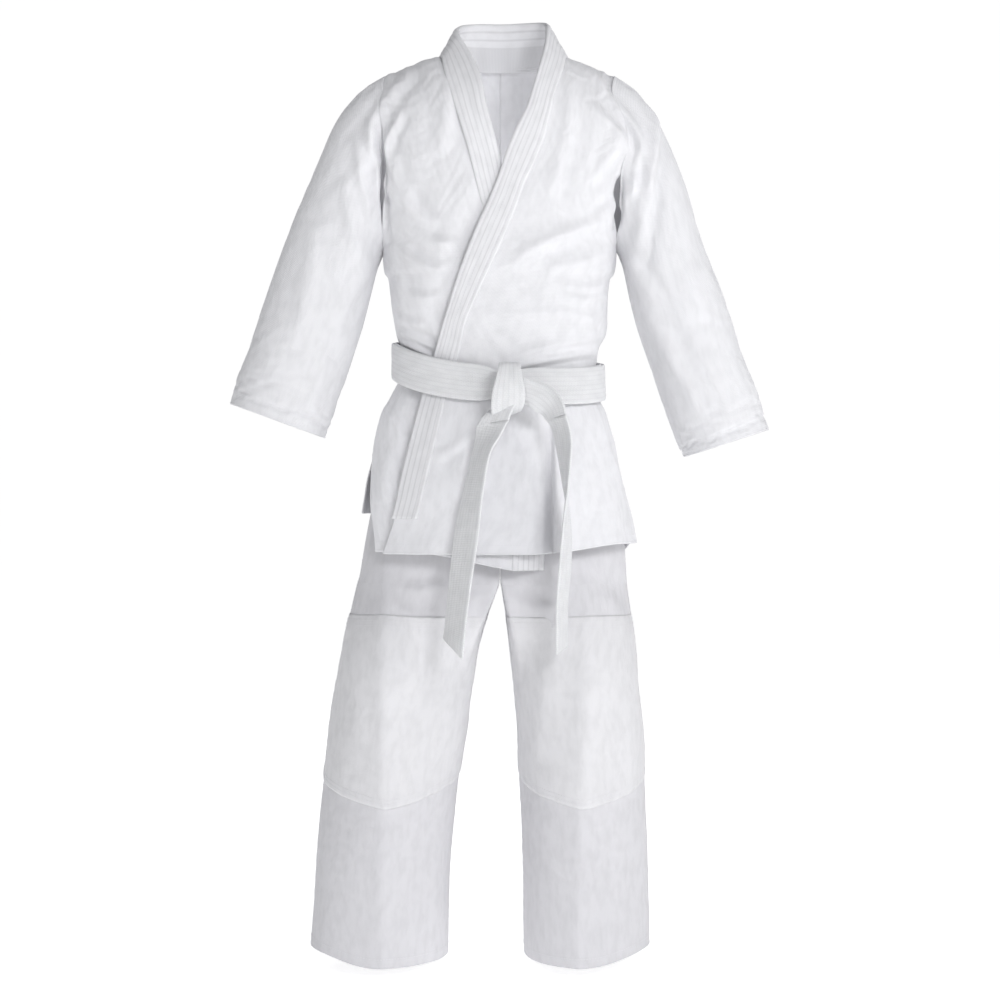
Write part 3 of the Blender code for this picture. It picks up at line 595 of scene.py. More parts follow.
def leg_ring(side, z):
    """A ring round one leg: outside from the front seam to the back seam, then the inside."""
    near, far, front, back = sizes_at(LEG_ROWS[side], z)
    sign = 1.0 if side == "left" else -1.0
    inner, outer = (near, far) if side == "left" else (far, near)
    wide = abs(outer - inner)
    share = np.linspace(0.0, 1.0, OUTER_COLUMNS)
    back_to_front = np.linspace(0.0, 1.0, INNER_COLUMNS + 2)[1:-1]
    half_turn = share * math.pi
    box_x = np.concatenate([wide * np.abs(np.sin(half_turn)) ** ROUNDNESS, 0.0 * back_to_front])
    depth = np.where(np.cos(half_turn) > 0, front, back)
    box_y = -depth * signed_power(np.cos(half_turn), ROUNDNESS)
    box_y = np.concatenate([box_y, back - (front + back) * back_to_front])
    turn = LEG_RING_START + LEG_RING_TURN * share
    rest = math.tau - LEG_RING_TURN
    turn = np.concatenate([turn, LEG_RING_START + LEG_RING_TURN + rest * back_to_front])
    x, y = outline((wide / 2, wide / 2, front, back), turn)
    rounder = ease((LEG_TOP_Z - z) / 0.11)
    x = box_x + (x + wide / 2 - box_x) * rounder
    y = box_y + (y - box_y) * rounder
    return np.stack([inner + sign * x, y, np.full_like(x, z)], axis=1)


def gathers(angle):
    """The uneven gathers of the waist, from -1 to 1 round the trousers."""
    return np.cos(angle * 46 + 1.3 * np.sin(angle * 7))


def hip_half(side, z):
    """The outside half of the hips at a level, from the front seam to the back seam."""
    sign = 1.0 if side == "left" else -1.0
    angle = sign * np.linspace(0.0004, math.pi - 0.0004, OUTER_COLUMNS)
    x, y = outline(sizes_at(HIP_ROWS, z), angle)
    ripple = gathers(angle) * ease((z + 0.09) / 0.07) * 0.0022
    return np.stack([x * (1 + ripple / 0.09), y * (1 + ripple / 0.06), np.full_like(x, z)], axis=1)


# The pressed creases: a wide and a narrow fold share each run down the leg.
RIGHT_CREASE = ((-0.122, -0.30), (-0.124, -0.42), (-0.128, -0.56), (-0.132, -0.76))
LEFT_CREASE = ((0.092, -0.30), (0.090, -0.42), (0.086, -0.56), (0.084, -0.76))
# Each fold: its line of (x, z) stops, half width, height, and how deep the hollow beside it is.
LEG_FOLDS = {
    "right": (
        (((-0.118, -0.18), *RIGHT_CREASE), 0.034, 0.0125, 0.2),
        (((-0.118, -0.20), *RIGHT_CREASE), 0.010, 0.0034, 0.2),
        (((-0.115, -0.235), (-0.095, -0.243), (-0.062, -0.240)), 0.007, 0.0028, 0.7),
        (((-0.130, -0.225), (-0.110, -0.262), (-0.075, -0.275)), 0.008, 0.0022, 0.6),
        (((-0.020, -0.245), (-0.045, -0.268), (-0.085, -0.272)), 0.008, 0.0020, 0.6),
        (((-0.075, -0.470), (-0.115, -0.520), (-0.120, -0.600)), 0.014, 0.0016, 0.4),
        (((-0.165, -0.300), (-0.150, -0.360), (-0.155, -0.440)), 0.012, 0.0018, 0.4),
        (((-0.065, -0.500), (-0.070, -0.560), (-0.066, -0.640)), 0.011, 0.0016, 0.5),
    ),
    "left": (
        (((0.086, -0.18), *LEFT_CREASE), 0.034, 0.0100, 0.3),
        (((0.086, -0.20), *LEFT_CREASE), 0.010, 0.0034, 0.2),
        (((0.010, -0.245), (0.035, -0.262), (0.075, -0.258)), 0.008, 0.0024, 0.7),
        (((0.028, -0.480), (0.052, -0.520), (0.080, -0.552)), 0.010, 0.0022, 0.6),
        (((0.100, -0.245), (0.125, -0.262), (0.142, -0.300)), 0.010, 0.0022, 0.5),
        (((0.150, -0.320), (0.142, -0.400), (0.150, -0.470)), 0.012, 0.0016, 0.4),
        (((0.045, -0.300), (0.050, -0.360), (0.044, -0.430)), 0.012, 0.0016, 0.4),
    ),
}

leg_grids = {}
for side, seed in (("right", 11), ("left", 12)):
    ring = np.array([leg_ring(side, z) for z in np.linspace(LEG_HEM_Z, LEG_TOP_Z, LEG_LEVELS)])
    if side == "right":
        ring = ring[:, ::-1]
    ring = crumple(ring, height=0.0006, rows=16, columns=9, seed=seed, closed=True)
    ring = add_folds(ring, LEG_FOLDS[side], closed=True)
    low = ease((HEM_LIFT_Z - ring[..., 2]) / (HEM_LIFT_Z - LEG_HEM_Z))
    outer_edge = LEG_ROWS[side][0][1 if side == "right" else 2]
    ring[..., 2] += HEM_LIFT * low * ease(1.0 - np.abs(ring[..., 0] - outer_edge) / HEM_LIFT_WIDTH)
    held = np.full(ring.shape[:2], 0.35)
    held[-3:] = 1.0
    ring = hang(ring, held, slack=0.007, most=0.005, closed=True)
    hips = np.array([hip_half(side, z) for z in np.linspace(LEG_TOP_Z, WAIST_Z, HIP_LEVELS)])
    if side == "right":
        hips = hips[:, ::-1]
    hips = add_folds(hips, LEG_FOLDS[side])
    hips[0] = ring[-1][-OUTER_COLUMNS:] if side == "right" else ring[-1][:OUTER_COLUMNS]
    leg_grids[side] = ring
    leg_mesh = grid_mesh(side + "_trouser_leg", ring, closed=True)
    hip_mesh = grid_mesh(side + "_trouser_hip", hips)
    both = bmesh.new()
    both.from_mesh(leg_mesh)
    both.from_mesh(hip_mesh)
    bmesh.ops.remove_doubles(both, verts=both.verts, dist=0.00005)
    both.to_mesh(leg_mesh)
    both.free()
    leg_mesh.polygons.foreach_set("use_smooth", [True] * len(leg_mesh.polygons))
    leg = add_piece(side + "_trouser_leg", leg_mesh, trouser_cotton)
    finish_cloth(leg, TROUSER_CLOTH)
    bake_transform(leg)
    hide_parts(side + "_leg_front", side + "_leg_back", side + "_hip")
    if side == "left":
        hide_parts("crotch_gusset")


def on_grid(points, rows, columns, lift=0.0, closed=False):
    """Points of a surface at fractional grid rows and columns, lifted off it."""
    normal = outward(points, closed)
    count = points.shape[1]
    r = np.clip(rows, 0, points.shape[0] - 1.001)
    c = np.asarray(columns, float)
    c = c % count if closed else np.clip(c, 0, count - 1.001)
    r0 = r.astype(int)
    c0 = c.astype(int)
    c1 = (c0 + 1) % count
    tr = (r - r0)[..., None]
    tc = (c - c0)[..., None]

    def blend(field):
        low = field[r0, c0] * (1 - tc) + field[r0, c1] * tc
        high = field[r0 + 1, c0] * (1 - tc) + field[r0 + 1, c1] * tc
        return low * (1 - tr) + high * tr

    return blend(points) + blend(normal) * lift


# ---------------------------------------------------------------- knee patches and hems
# A knee patch is a second layer of lighter cloth sewn on the front of a leg, its lower edge
# running down to a point. A trouser hem is a band turned up inside the leg and sewn twice.

PATCH_TOP_Z = -0.272
PATCH_SIDE_Z = -0.447
PATCH_POINT_DROP = 0.030
PATCH_CLOTH = 0.0009
PATCH_LIFT = 0.0011
PATCH_ROWS = 44
PATCH_COLUMNS = 58
HEM_HEIGHT = 0.012
HEM_CLOTH = 0.0010
STITCH_LIFT = 0.0003

stitch_lines = {}


def add_stitches(group, *lines):
    """Keeps sewn lines, to be laid with thread in the last section."""
    stitch_lines.setdefault(group, []).extend(np.asarray(line) for line in lines)


def row_of(z):
    """Fractional grid row of a leg at a level."""
    return (z - LEG_HEM_Z) / (LEG_TOP_Z - LEG_HEM_Z) * (LEG_LEVELS - 1)


for side in ("right", "left"):
    ring = leg_grids[side]
    count = ring.shape[1]
    first, last = (-13, 44) if side == "left" else (count - 45, count + 12)
    across = np.linspace(0.0, 1.0, PATCH_COLUMNS)
    share = np.linspace(0.0, 1.0, PATCH_ROWS)[:, None]
    bottom = PATCH_SIDE_Z - PATCH_POINT_DROP * (1.0 - np.abs(2 * across - 1.0))
    level = bottom + (PATCH_TOP_Z - bottom) * share
    column = np.broadcast_to(first + (last - first) * across, level.shape)
    patch = on_grid(ring, row_of(level), column, PATCH_LIFT, closed=True)
    patch = crumple(patch, height=0.00035, rows=9, columns=6, seed=31 + len(side))
    edge = np.minimum(
        np.minimum(share, 1 - share) * PATCH_ROWS,
        np.minimum(across, 1 - across) * PATCH_COLUMNS,
    )
    patch = patch - outward(patch) * (0.0006 * np.exp(-edge / 0.8))[..., None]
    piece = add_cloth(side + "_knee_patch_panel", patch, PATCH_CLOTH, knee_cotton)
    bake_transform(piece)
    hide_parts(side + "_knee_patch")
    for inset in (1.4, 2.6):
        top = PATCH_ROWS - 1 - inset
        far = PATCH_COLUMNS - 1 - inset
        for row in (top, inset * 0.8):
            sewn_across = on_grid(patch, np.full(80, row), np.linspace(inset, far, 80), STITCH_LIFT)
            add_stitches(side + "_patch", sewn_across)
        for column in (inset, far):
            sewn_down = on_grid(patch, np.linspace(inset, top, 60), np.full(60, column), STITCH_LIFT)
            add_stitches(side + "_patch", sewn_down)
    hem_rows = np.linspace(0.0, row_of(LEG_HEM_Z + HEM_HEIGHT), 5)
    grid_r, grid_c = np.meshgrid(hem_rows, np.arange(count, dtype=float), indexing="ij")
    hem = on_grid(ring, grid_r, grid_c, -0.0021, closed=True)
    piece = add_cloth(side + "_trouser_hem", hem, HEM_CLOTH, trouser_cotton, closed=True)
    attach(piece, side + "_leg")
    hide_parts(side + "_leg_hem")
    round_columns = np.linspace(0, count, 240)
    for height in (0.0105, 0.0015):
        hem_row = np.full(240, row_of(LEG_HEM_Z + height))
        add_stitches(side + "_leg", on_grid(ring, hem_row, round_columns, STITCH_LIFT, closed=True))


# ---------------------------------------------------------------- waistband
# A folded casing gathered by the elastic inside it, with a small cloth loop on the front
# for the cord that ties there.

WAIST_ROW_Z = 0.020
WAIST_TURNS = 320
GATHER_DEPTH = 0.0007
ELASTIC_THICKNESS = 0.0024
LOOP_WIDTH = 0.010
LOOP_CLOTH = 0.0014
# Outset and level of the folded casing, from its front hem over the top to its back hem.
CASING_PROFILE = (
    (-0.0004, -0.0185), (0.0004, -0.0140), (0.0, -0.0080), (0.0003, 0.0), (0.0002, 0.0090),
    (-0.0004, 0.0150), (-0.0020, 0.0176), (-0.0037, 0.0180), (-0.0054, 0.0176), (-0.0070, 0.0150),
    (-0.0074, 0.0), (-0.0074, -0.0185),
)
# Depth and level of the loop, sewn down at both ends.
LOOP_PROFILE = (
    (-0.0002, -0.0135), (-0.0022, -0.0118), (-0.0040, -0.0095), (-0.0044, 0.0), (-0.0040, 0.0095),
    (-0.0022, 0.0118), (-0.0002, 0.0135),
)


def waist_ring(outset, z, depth):
    """A closed ring at the waist, rippled by gathers so deep."""
    angle = math.tau * np.arange(WAIST_TURNS) / WAIST_TURNS
    x, y = outline(sizes_at(HIP_ROWS, WAIST_ROW_Z), angle, outset + depth * gathers(angle))
    return np.stack([x, y, np.full_like(x, z)], axis=1)


elastic_webbing = woven_cotton("elastic_webbing", (0.74, 0.74, 0.72), "rib", 0.0016, 0.0012, 0.00030)

casing = np.array([waist_ring(outset, z, GATHER_DEPTH) for outset, z in CASING_PROFILE])
piece = add_cloth("waistband_casing", casing, TROUSER_CLOTH, trouser_cotton, closed=True)
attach(piece, "trousers")
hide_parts("waistband")
for z in (-0.0155, 0.0125):
    line = waist_ring(0.0006, z, GATHER_DEPTH)
    add_stitches("trousers", np.vstack([line, line[:1]]))

elastic = np.array([waist_ring(-0.0025, z, 0.0) for z in np.linspace(-0.0140, 0.0150, 8)])
piece = add_cloth("waist_elastic_band", elastic, ELASTIC_THICKNESS, elastic_webbing, closed=True, smooth=0)
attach(piece, "trousers")
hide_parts("waist_elastic")

face_y = -sizes_at(HIP_ROWS, WAIST_ROW_Z)[2] - 0.0006
across = np.linspace(-LOOP_WIDTH / 2, LOOP_WIDTH / 2, 7)
loop_rows = [[(x, face_y + y, z) for x in across] for y, z in through(LOOP_PROFILE, 25)]
piece = add_cloth("cord_loop", np.array(loop_rows), LOOP_CLOTH, trouser_cotton)
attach(piece, "trousers")
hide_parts("drawcord_loop")


# ---------------------------------------------------------------- jacket body
# Two fronts that cross, the wearer's left over the right, and two back panels joined down
# the middle. Heavy rice-grain cotton, held at the waist by the belt.

JACKET_CLOTH = 0.0015
ARMPIT_Z = 0.134
ARMHOLE_X = 0.130
ARMHOLE_DEPTH = 0.055
NECK_HALF_WIDTH = 0.072
NECK_BACK_DEPTH = 0.058
SHOULDER_BEND = 0.6
UNDERLAP = 0.0075
UNDERLAP_RAMP = 0.030
SIDE_ANGLE = math.radians(89.6)

# Jacket body from the hem up, with the same columns as the hips.
JACKET_ROWS = (
    (-0.240, 0.1620, 0.1600, 0.102, 0.111),
    (-0.172, 0.1570, 0.1490, 0.098, 0.106),
    (-0.132, 0.1510, 0.1390, 0.095, 0.101),
    (-0.090, 0.1425, 0.1290, 0.090, 0.094),
    (-0.050, 0.1330, 0.1190, 0.083, 0.085),
    (-0.033, 0.1240, 0.1100, 0.077, 0.078),
    (-0.012, 0.1130, 0.1070, 0.072, 0.073),
    (0.000, 0.1110, 0.1070, 0.072, 0.072),
    (0.024, 0.1110, 0.1100, 0.073, 0.072),
    (0.040, 0.1155, 0.1180, 0.076, 0.074),
    (0.070, 0.1210, 0.1200, 0.080, 0.078),
    (0.100, 0.1240, 0.1225, 0.082, 0.082),
    (0.134, 0.130, 0.130, 0.083, 0.085),
    (0.350, 0.130, 0.130, 0.074, 0.080),
)
# Lapel edges from the hem up: level, x of the seam edge, x of the free edge.
LAPEL_ROWS = (
    (-0.2400, -0.1090, -0.1430),
    (-0.1640, -0.0880, -0.1170),
    (-0.1155, -0.0761, -0.1060),
    (-0.0284, -0.0559, -0.0840),
    (0.0065, -0.0442, -0.0735),
    (0.0462, -0.0366, -0.0620),
    (0.1050, -0.0100, -0.0430),
    (0.1565, 0.0129, -0.0226),
    (0.1956, 0.0269, -0.0050),
    (0.2400, 0.0466, 0.0100),
    (0.2930, 0.0592, 0.0345),
    (0.3235, 0.0687, 0.0480),
    (0.3500, 0.0740, 0.0520),
)
UNDER_LAPEL_ROWS = (
    (-0.2400, 0.0120, 0.0470),
    (-0.0500, 0.0180, 0.0520),
    (0.0065, 0.0150, 0.0490),
    (0.1050, 0.0020, 0.0350),
    (0.1800, -0.0215, 0.0110),
    (0.2446, -0.0378, -0.0045),
    (0.3110, -0.0584, -0.0230),
    (0.3500, -0.0660, -0.0400),
)


def ridge_z(x):
    """Height of the shoulder line above a given x."""
    return 0.350 - 0.37 * (np.clip(np.abs(x), NECK_HALF_WIDTH, ARMHOLE_X) - NECK_HALF_WIDTH)


def torso_section(level, x, face):
    """Half width, half depth, side angle, height and shoulder rounding of the jacket body.
    A negative level is metres below the armpit, a positive one a share of the way from the
    armpit to the shoulder line."""
    level = np.asarray(level, float)
    x = np.asarray(x, float)
    z = ARMPIT_Z + np.where(level > 0, level * (ridge_z(x) - ARMPIT_Z), level)
    right, left, front, back = sizes_at(JACKET_ROWS, z)
    depth = front if face < 0 else back
    bend = np.clip((level - SHOULDER_BEND) / (1.0 - SHOULDER_BEND), 0.0, 1.0)
    rounding = np.sqrt(np.maximum(1e-6, 1.0 - bend * bend))
    upper = np.clip(level, 0.0, 1.0)
    opening = ARMHOLE_DEPTH * np.sqrt(np.maximum(1e-6, 1.0 - (2.0 * upper - 1.0) ** 2)) / rounding
    side = np.arccos(np.minimum(0.98, opening / depth) ** (1.0 / ROUNDNESS))
    side = np.where(level > 0, np.minimum(SIDE_ANGLE, side), SIDE_ANGLE)
    wide = np.where(level > 0, ARMHOLE_X / np.sin(side) ** ROUNDNESS, np.where(x > 0, left, right))
    return wide, depth, side, z, rounding


def torso_point(level, angle, face):
    """Points of the jacket body's outer face; face is -1 for the front, +1 for the back."""
    level, angle = np.broadcast_arrays(np.asarray(level, float), np.asarray(angle, float))
    x = ARMHOLE_X * np.sin(angle)
    for _ in range(5):
        wide, depth, side, z, rounding = torso_section(level, x, face)
        turn = np.clip(angle, -side, side)
        x = wide * signed_power(np.sin(turn), ROUNDNESS)
    y = depth * np.cos(turn) ** ROUNDNESS * rounding
    if face > 0:
        neck = np.maximum(0.0, 1.0 - (x / NECK_HALF_WIDTH) ** 2)
        y = y + NECK_BACK_DEPTH * np.sqrt(neck) * (1.0 - rounding)
    return np.stack([x, face * np.maximum(y, 0.0012), z], axis=-1)


def angle_at(level, x, face):
    """The angle at which the jacket body reaches an x."""
    wide, _, side, _, _ = torso_section(level, x, face)
    share = np.minimum(1.0, np.abs(x) / wide)
    return np.copysign(np.minimum(side, np.arcsin(share ** (1.0 / ROUNDNESS))), x)


def front_at(x, z):
    """The point of the jacket's front at x and z."""
    above = z - ARMPIT_Z
    level = above if above <= 0 else min(1.0, above / float(ridge_z(x) - ARMPIT_Z))
    return torso_point(level, angle_at(level, x, -1), -1)


def armhole_drift(points):
    """The wearer's left armhole seam isn't straight: it runs in at the top and out lower down."""
    z = points[..., 2]
    sway = 0.011 * np.exp(-((z - 0.247) / 0.030) ** 2) - 0.006 * np.exp(-((z - 0.300) / 0.025) ** 2)
    near = np.exp(-((points[..., 0] - ARMHOLE_X) / 0.024) ** 2)
    moved = points.copy()
    moved[..., 0] += sway * near
    return moved


def lapel_x(rows, z, column):
    """X of a lapel's seam edge (column 0) or free edge (column 1) at a level."""
    return sizes_at(rows, z)[column]


def belt_z(angle):
    """Middle of the belt: high on the wearer's right hip and low at the front."""
    return -0.0056 - 0.0105 * np.cos(angle) - 0.0112 * np.sin(angle) - 0.0049 * np.cos(2 * angle)


def tuck_under(points):
    """The under front lies behind the outer one, and comes forward beside the outer lapel."""
    edge = lapel_x(LAPEL_ROWS, points[..., 2], 1)
    drop = UNDERLAP * ease((points[..., 0] - edge) / UNDERLAP_RAMP + 1.0)
    moved = points.copy()
    moved[..., 1] += drop
    return moved


LOWER_ROWS = 52
UPPER_ROWS = 66
PANEL_COLUMNS = 64
LAPEL_TUCK = 0.006


def front_panel(side, lapel):
    """Rows of a front from the belt to the shoulder, columns from left to right."""
    rows = []
    shares = np.linspace(0.0, 1.0, PANEL_COLUMNS)
    for r in range(LOWER_ROWS + UPPER_ROWS):
        up = min(1.0, r / LOWER_ROWS)
        upper = max(0.0, (r - LOWER_ROWS) / (UPPER_ROWS - 1))
        start = 0.0
        for _ in range(6):
            level = upper if r > LOWER_ROWS else (belt_z(start) - ARMPIT_Z) * (1.0 - up)
            x = float(torso_point(level, start, -1)[0])
            z = float(torso_section(level, x, -1)[3])
            seam = float(lapel_x(lapel, z, 0)) - side * LAPEL_TUCK * (1.0 - upper ** 6)
            start = float(angle_at(level, seam, -1))
        stop = side * float(torso_section(level, side * ARMHOLE_X, -1)[2])
        angles = start + (stop - start) * shares
        if side < 0:
            angles = angles[::-1]
        levels = np.full(PANEL_COLUMNS, upper) if r > LOWER_ROWS else (belt_z(angles) - ARMPIT_Z) * (1.0 - up)
        rows.append(torso_point(levels, angles, -1))
    return np.array(rows)


def back_panel(side):
    """Rows of a back panel from the belt to the neck and shoulder, columns from right to left."""
    rows = []
    shares = np.linspace(0.0, 1.0, PANEL_COLUMNS)
    for r in range(LOWER_ROWS + UPPER_ROWS):
        up = min(1.0, r / LOWER_ROWS)
        upper = max(0.0, (r - LOWER_ROWS) / (UPPER_ROWS - 1))
        stop = float(torso_section(upper if r > LOWER_ROWS else -0.05, side * ARMHOLE_X, 1)[2])
        angles = stop * (1.0 - shares) if side > 0 else -stop * shares
        levels = np.full(PANEL_COLUMNS, upper)
        if r <= LOWER_ROWS:
            levels = (belt_z(math.pi - angles) - ARMPIT_Z) * (1.0 - up)
        rows.append(torso_point(levels, angles, 1))
    return np.array(rows)


ARMHOLE_FOLDS = (
    (((0.092, 0.336), (0.122, 0.300), (0.150, 0.240), (0.158, 0.190)), 0.0080, 0.0026, 0.8),
    (((0.100, 0.290), (0.122, 0.250), (0.136, 0.205)), 0.0070, 0.0024, 0.8),
    (((0.104, 0.165), (0.128, 0.178), (0.150, 0.200)), 0.0060, 0.0020, 0.8),
    (((-0.092, 0.332), (-0.126, 0.290), (-0.146, 0.235), (-0.152, 0.190)), 0.0080, 0.0026, 0.8),
    (((-0.104, 0.285), (-0.126, 0.240), (-0.134, 0.200)), 0.0060, 0.0024, 0.8),
    (((-0.100, 0.175), (-0.126, 0.196), (-0.144, 0.222)), 0.0060, 0.0020, 0.8),
    # narrow hollows in the armpits
    (((-0.131, 0.250), (-0.128, 0.205), (-0.125, 0.145)), 0.0036, -0.0065, 0.0),
    (((0.129, 0.210), (0.131, 0.182), (0.127, 0.150)), 0.0034, -0.0065, 0.0),
)
CHEST_FOLDS = ARMHOLE_FOLDS + (
    # wearer's left chest, drag lines from the armpit and the shoulder
    (((0.078, 0.318), (0.074, 0.262), (0.060, 0.205), (0.050, 0.175)), 0.0085, 0.0022, 0.8),
    (((0.122, 0.262), (0.112, 0.225), (0.098, 0.196)), 0.0060, 0.0016, 0.6),
    (((0.133, 0.165), (0.090, 0.150), (0.040, 0.128), (-0.004, 0.100)), 0.0085, 0.0030, 0.7),
    (((0.125, 0.128), (0.085, 0.112), (0.050, 0.104)), 0.0065, 0.0016, 0.6),
    (((0.118, 0.094), (0.096, 0.086), (0.070, 0.087)), 0.0045, 0.0018, 0.7),
    (((0.118, 0.082), (0.090, 0.074), (0.062, 0.078)), 0.0050, 0.0016, 0.6),
    (((0.112, 0.052), (0.070, 0.058), (0.010, 0.056), (-0.030, 0.060)), 0.0045, 0.0014, 0.5),
    (((0.110, 0.036), (0.080, 0.028), (0.040, 0.018), (0.004, 0.006)), 0.0060, 0.0026, 0.7),
    (((0.110, 0.020), (0.072, 0.012), (0.035, 0.004), (0.006, -0.004)), 0.0050, 0.0034, 0.8),
    (((0.112, 0.070), (0.100, 0.050), (0.106, 0.030)), 0.0055, 0.0014, 0.5),
    # wearer's right chest
    (((-0.060, 0.320), (-0.058, 0.270), (-0.066, 0.225)), 0.0100, 0.0018, 0.5),
    (((-0.124, 0.245), (-0.108, 0.190), (-0.086, 0.158), (-0.070, 0.150)), 0.0080, 0.0024, 0.7),
    (((-0.122, 0.180), (-0.100, 0.150), (-0.066, 0.134), (-0.048, 0.128)), 0.0070, 0.0022, 0.7),
    (((-0.118, 0.140), (-0.096, 0.118), (-0.070, 0.104), (-0.052, 0.108)), 0.0065, 0.0026, 0.7),
    (((-0.120, 0.105), (-0.100, 0.082), (-0.080, 0.074), (-0.058, 0.078)), 0.0060, 0.0018, 0.6),
    (((-0.114, 0.060), (-0.098, 0.048), (-0.078, 0.046)), 0.0050, 0.0016, 0.6),
    (((-0.112, 0.042), (-0.095, 0.032), (-0.072, 0.022), (-0.060, 0.018)), 0.0042, 0.0028, 0.8),
    (((-0.112, 0.033), (-0.096, 0.024), (-0.074, 0.012), (-0.062, 0.010)), 0.0036, 0.0026, 0.8),
)
BACK_FOLDS = (
    (((-0.120, 0.190), (-0.070, 0.160), (-0.020, 0.110), (-0.010, 0.060)), 0.0100, 0.0026, 0.6),
    (((0.120, 0.190), (0.075, 0.155), (0.030, 0.112), (0.018, 0.060)), 0.0100, 0.0026, 0.6),
    (((-0.115, 0.120), (-0.060, 0.075), (-0.030, 0.020)), 0.0080, 0.0024, 0.6),
    (((0.115, 0.115), (0.065, 0.072), (0.035, 0.020)), 0.0080, 0.0022, 0.6),
    (((-0.100, 0.030), (-0.050, 0.022), (0.000, 0.028)), 0.0050, 0.0026, 0.7),
    (((0.105, 0.028), (0.060, 0.020), (0.010, 0.020)), 0.0050, 0.0024, 0.7),
    (((-0.040, 0.300), (-0.050, 0.240), (-0.044, 0.190)), 0.0120, 0.0018, 0.4),
    (((0.045, 0.300), (0.052, 0.240), (0.046, 0.190)), 0.0120, 0.0018, 0.4),
)
WAIST_SEAM_Z = 0.058

jacket_cotton = woven_cotton("jacket_rice_grain", (0.83, 0.83, 0.848), *RICE_GRAIN)

for face, facing, seed in ((-1, "front", 21), (1, "back", 23)):
    for side, word in ((1, "left"), (-1, "right")):
        name = "jacket_" + word + "_" + facing
        if face < 0:
            panel = front_panel(side, LAPEL_ROWS if side > 0 else UNDER_LAPEL_ROWS)
        else:
            panel = back_panel(side)
        panel = crumple(panel, height=0.0005, rows=15, columns=9, seed=seed + (side < 0))
        folds, strength = (CHEST_FOLDS, 1.6) if face < 0 else (BACK_FOLDS, 1.4)
        panel = add_folds(panel, folds, facing=face, strength=strength)
        rim = np.minimum(np.arange(PANEL_COLUMNS), np.arange(PANEL_COLUMNS)[::-1])[None, :]
        ends = np.minimum(np.arange(len(panel)), np.arange(len(panel))[::-1])[:, None]
        held = 0.25 + 0.75 * np.exp(-np.minimum(rim, ends) / 2.0)
        panel = hang(panel, held, slack=0.007, most=0.004)
        if name == "jacket_right_front":
            panel = tuck_under(panel)
        panel = armhole_drift(panel)
        seam = np.exp(-((panel[..., 2] - WAIST_SEAM_Z) / 0.0012) ** 2) * (panel[..., 2] < 0.1)
        panel = panel - outward(panel) * (0.0006 * seam)[..., None]
        piece = add_cloth(name, panel, JACKET_CLOTH, jacket_cotton)
        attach(piece, "jacket")
        if face < 0:
            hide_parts("jacket_front_" + word, "waist_front_" + word, "shoulder_lining_" + word)
        else:
            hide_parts("jacket_back_" + word, "waist_back")


# ---------------------------------------------------------------- sleeves
# Wide straight sleeves sewn into the armholes, with a turned and stitched cuff.

# Sleeves from the cuff to the armhole: x and z of the upper edge, then of the lower edge.
SLEEVE_EDGES = {
    "left": (
        (0.3000, -0.0670, 0.2060, -0.0974),
        (0.2880, -0.0250, 0.1970, -0.0760),
        (0.2700, 0.0200, 0.1840, -0.0400),
        (0.2498, 0.0830, 0.1660, 0.0150),
        (0.2237, 0.1500, 0.1520, 0.0560),
        (0.2040, 0.2170, 0.1430, 0.0900),
        (0.1810, 0.2710, 0.1390, 0.1150),
        (0.1557, 0.3100, 0.1345, 0.1270),
        (0.1290, 0.3284, 0.1290, 0.1340),
    ),
    "right": (
        (-0.3020, -0.0380, -0.1970, -0.0760),
        (-0.2930, -0.0040, -0.1880, -0.0500),
        (-0.2800, 0.0300, -0.1780, -0.0220),
        (-0.2610, 0.0830, -0.1670, 0.0120),
        (-0.2350, 0.1560, -0.1530, 0.0550),
        (-0.2106, 0.2170, -0.1445, 0.0860),
        (-0.1850, 0.2740, -0.1390, 0.1130),
        (-0.1560, 0.3110, -0.1345, 0.1260),
        (-0.1290, 0.3284, -0.1290, 0.1340),
    ),
}
# Half the depth of a sleeve at the same stops, from the cuff to the armhole.
SLEEVE_DEPTHS = ((0.048,), (0.049,), (0.050,), (0.051,), (0.053,), (0.055,), (0.056,), (0.056,), (0.0545,))
SLEEVE_ROWS = 92
SLEEVE_COLUMNS = 80
CUFF_CLOTH = 0.0012

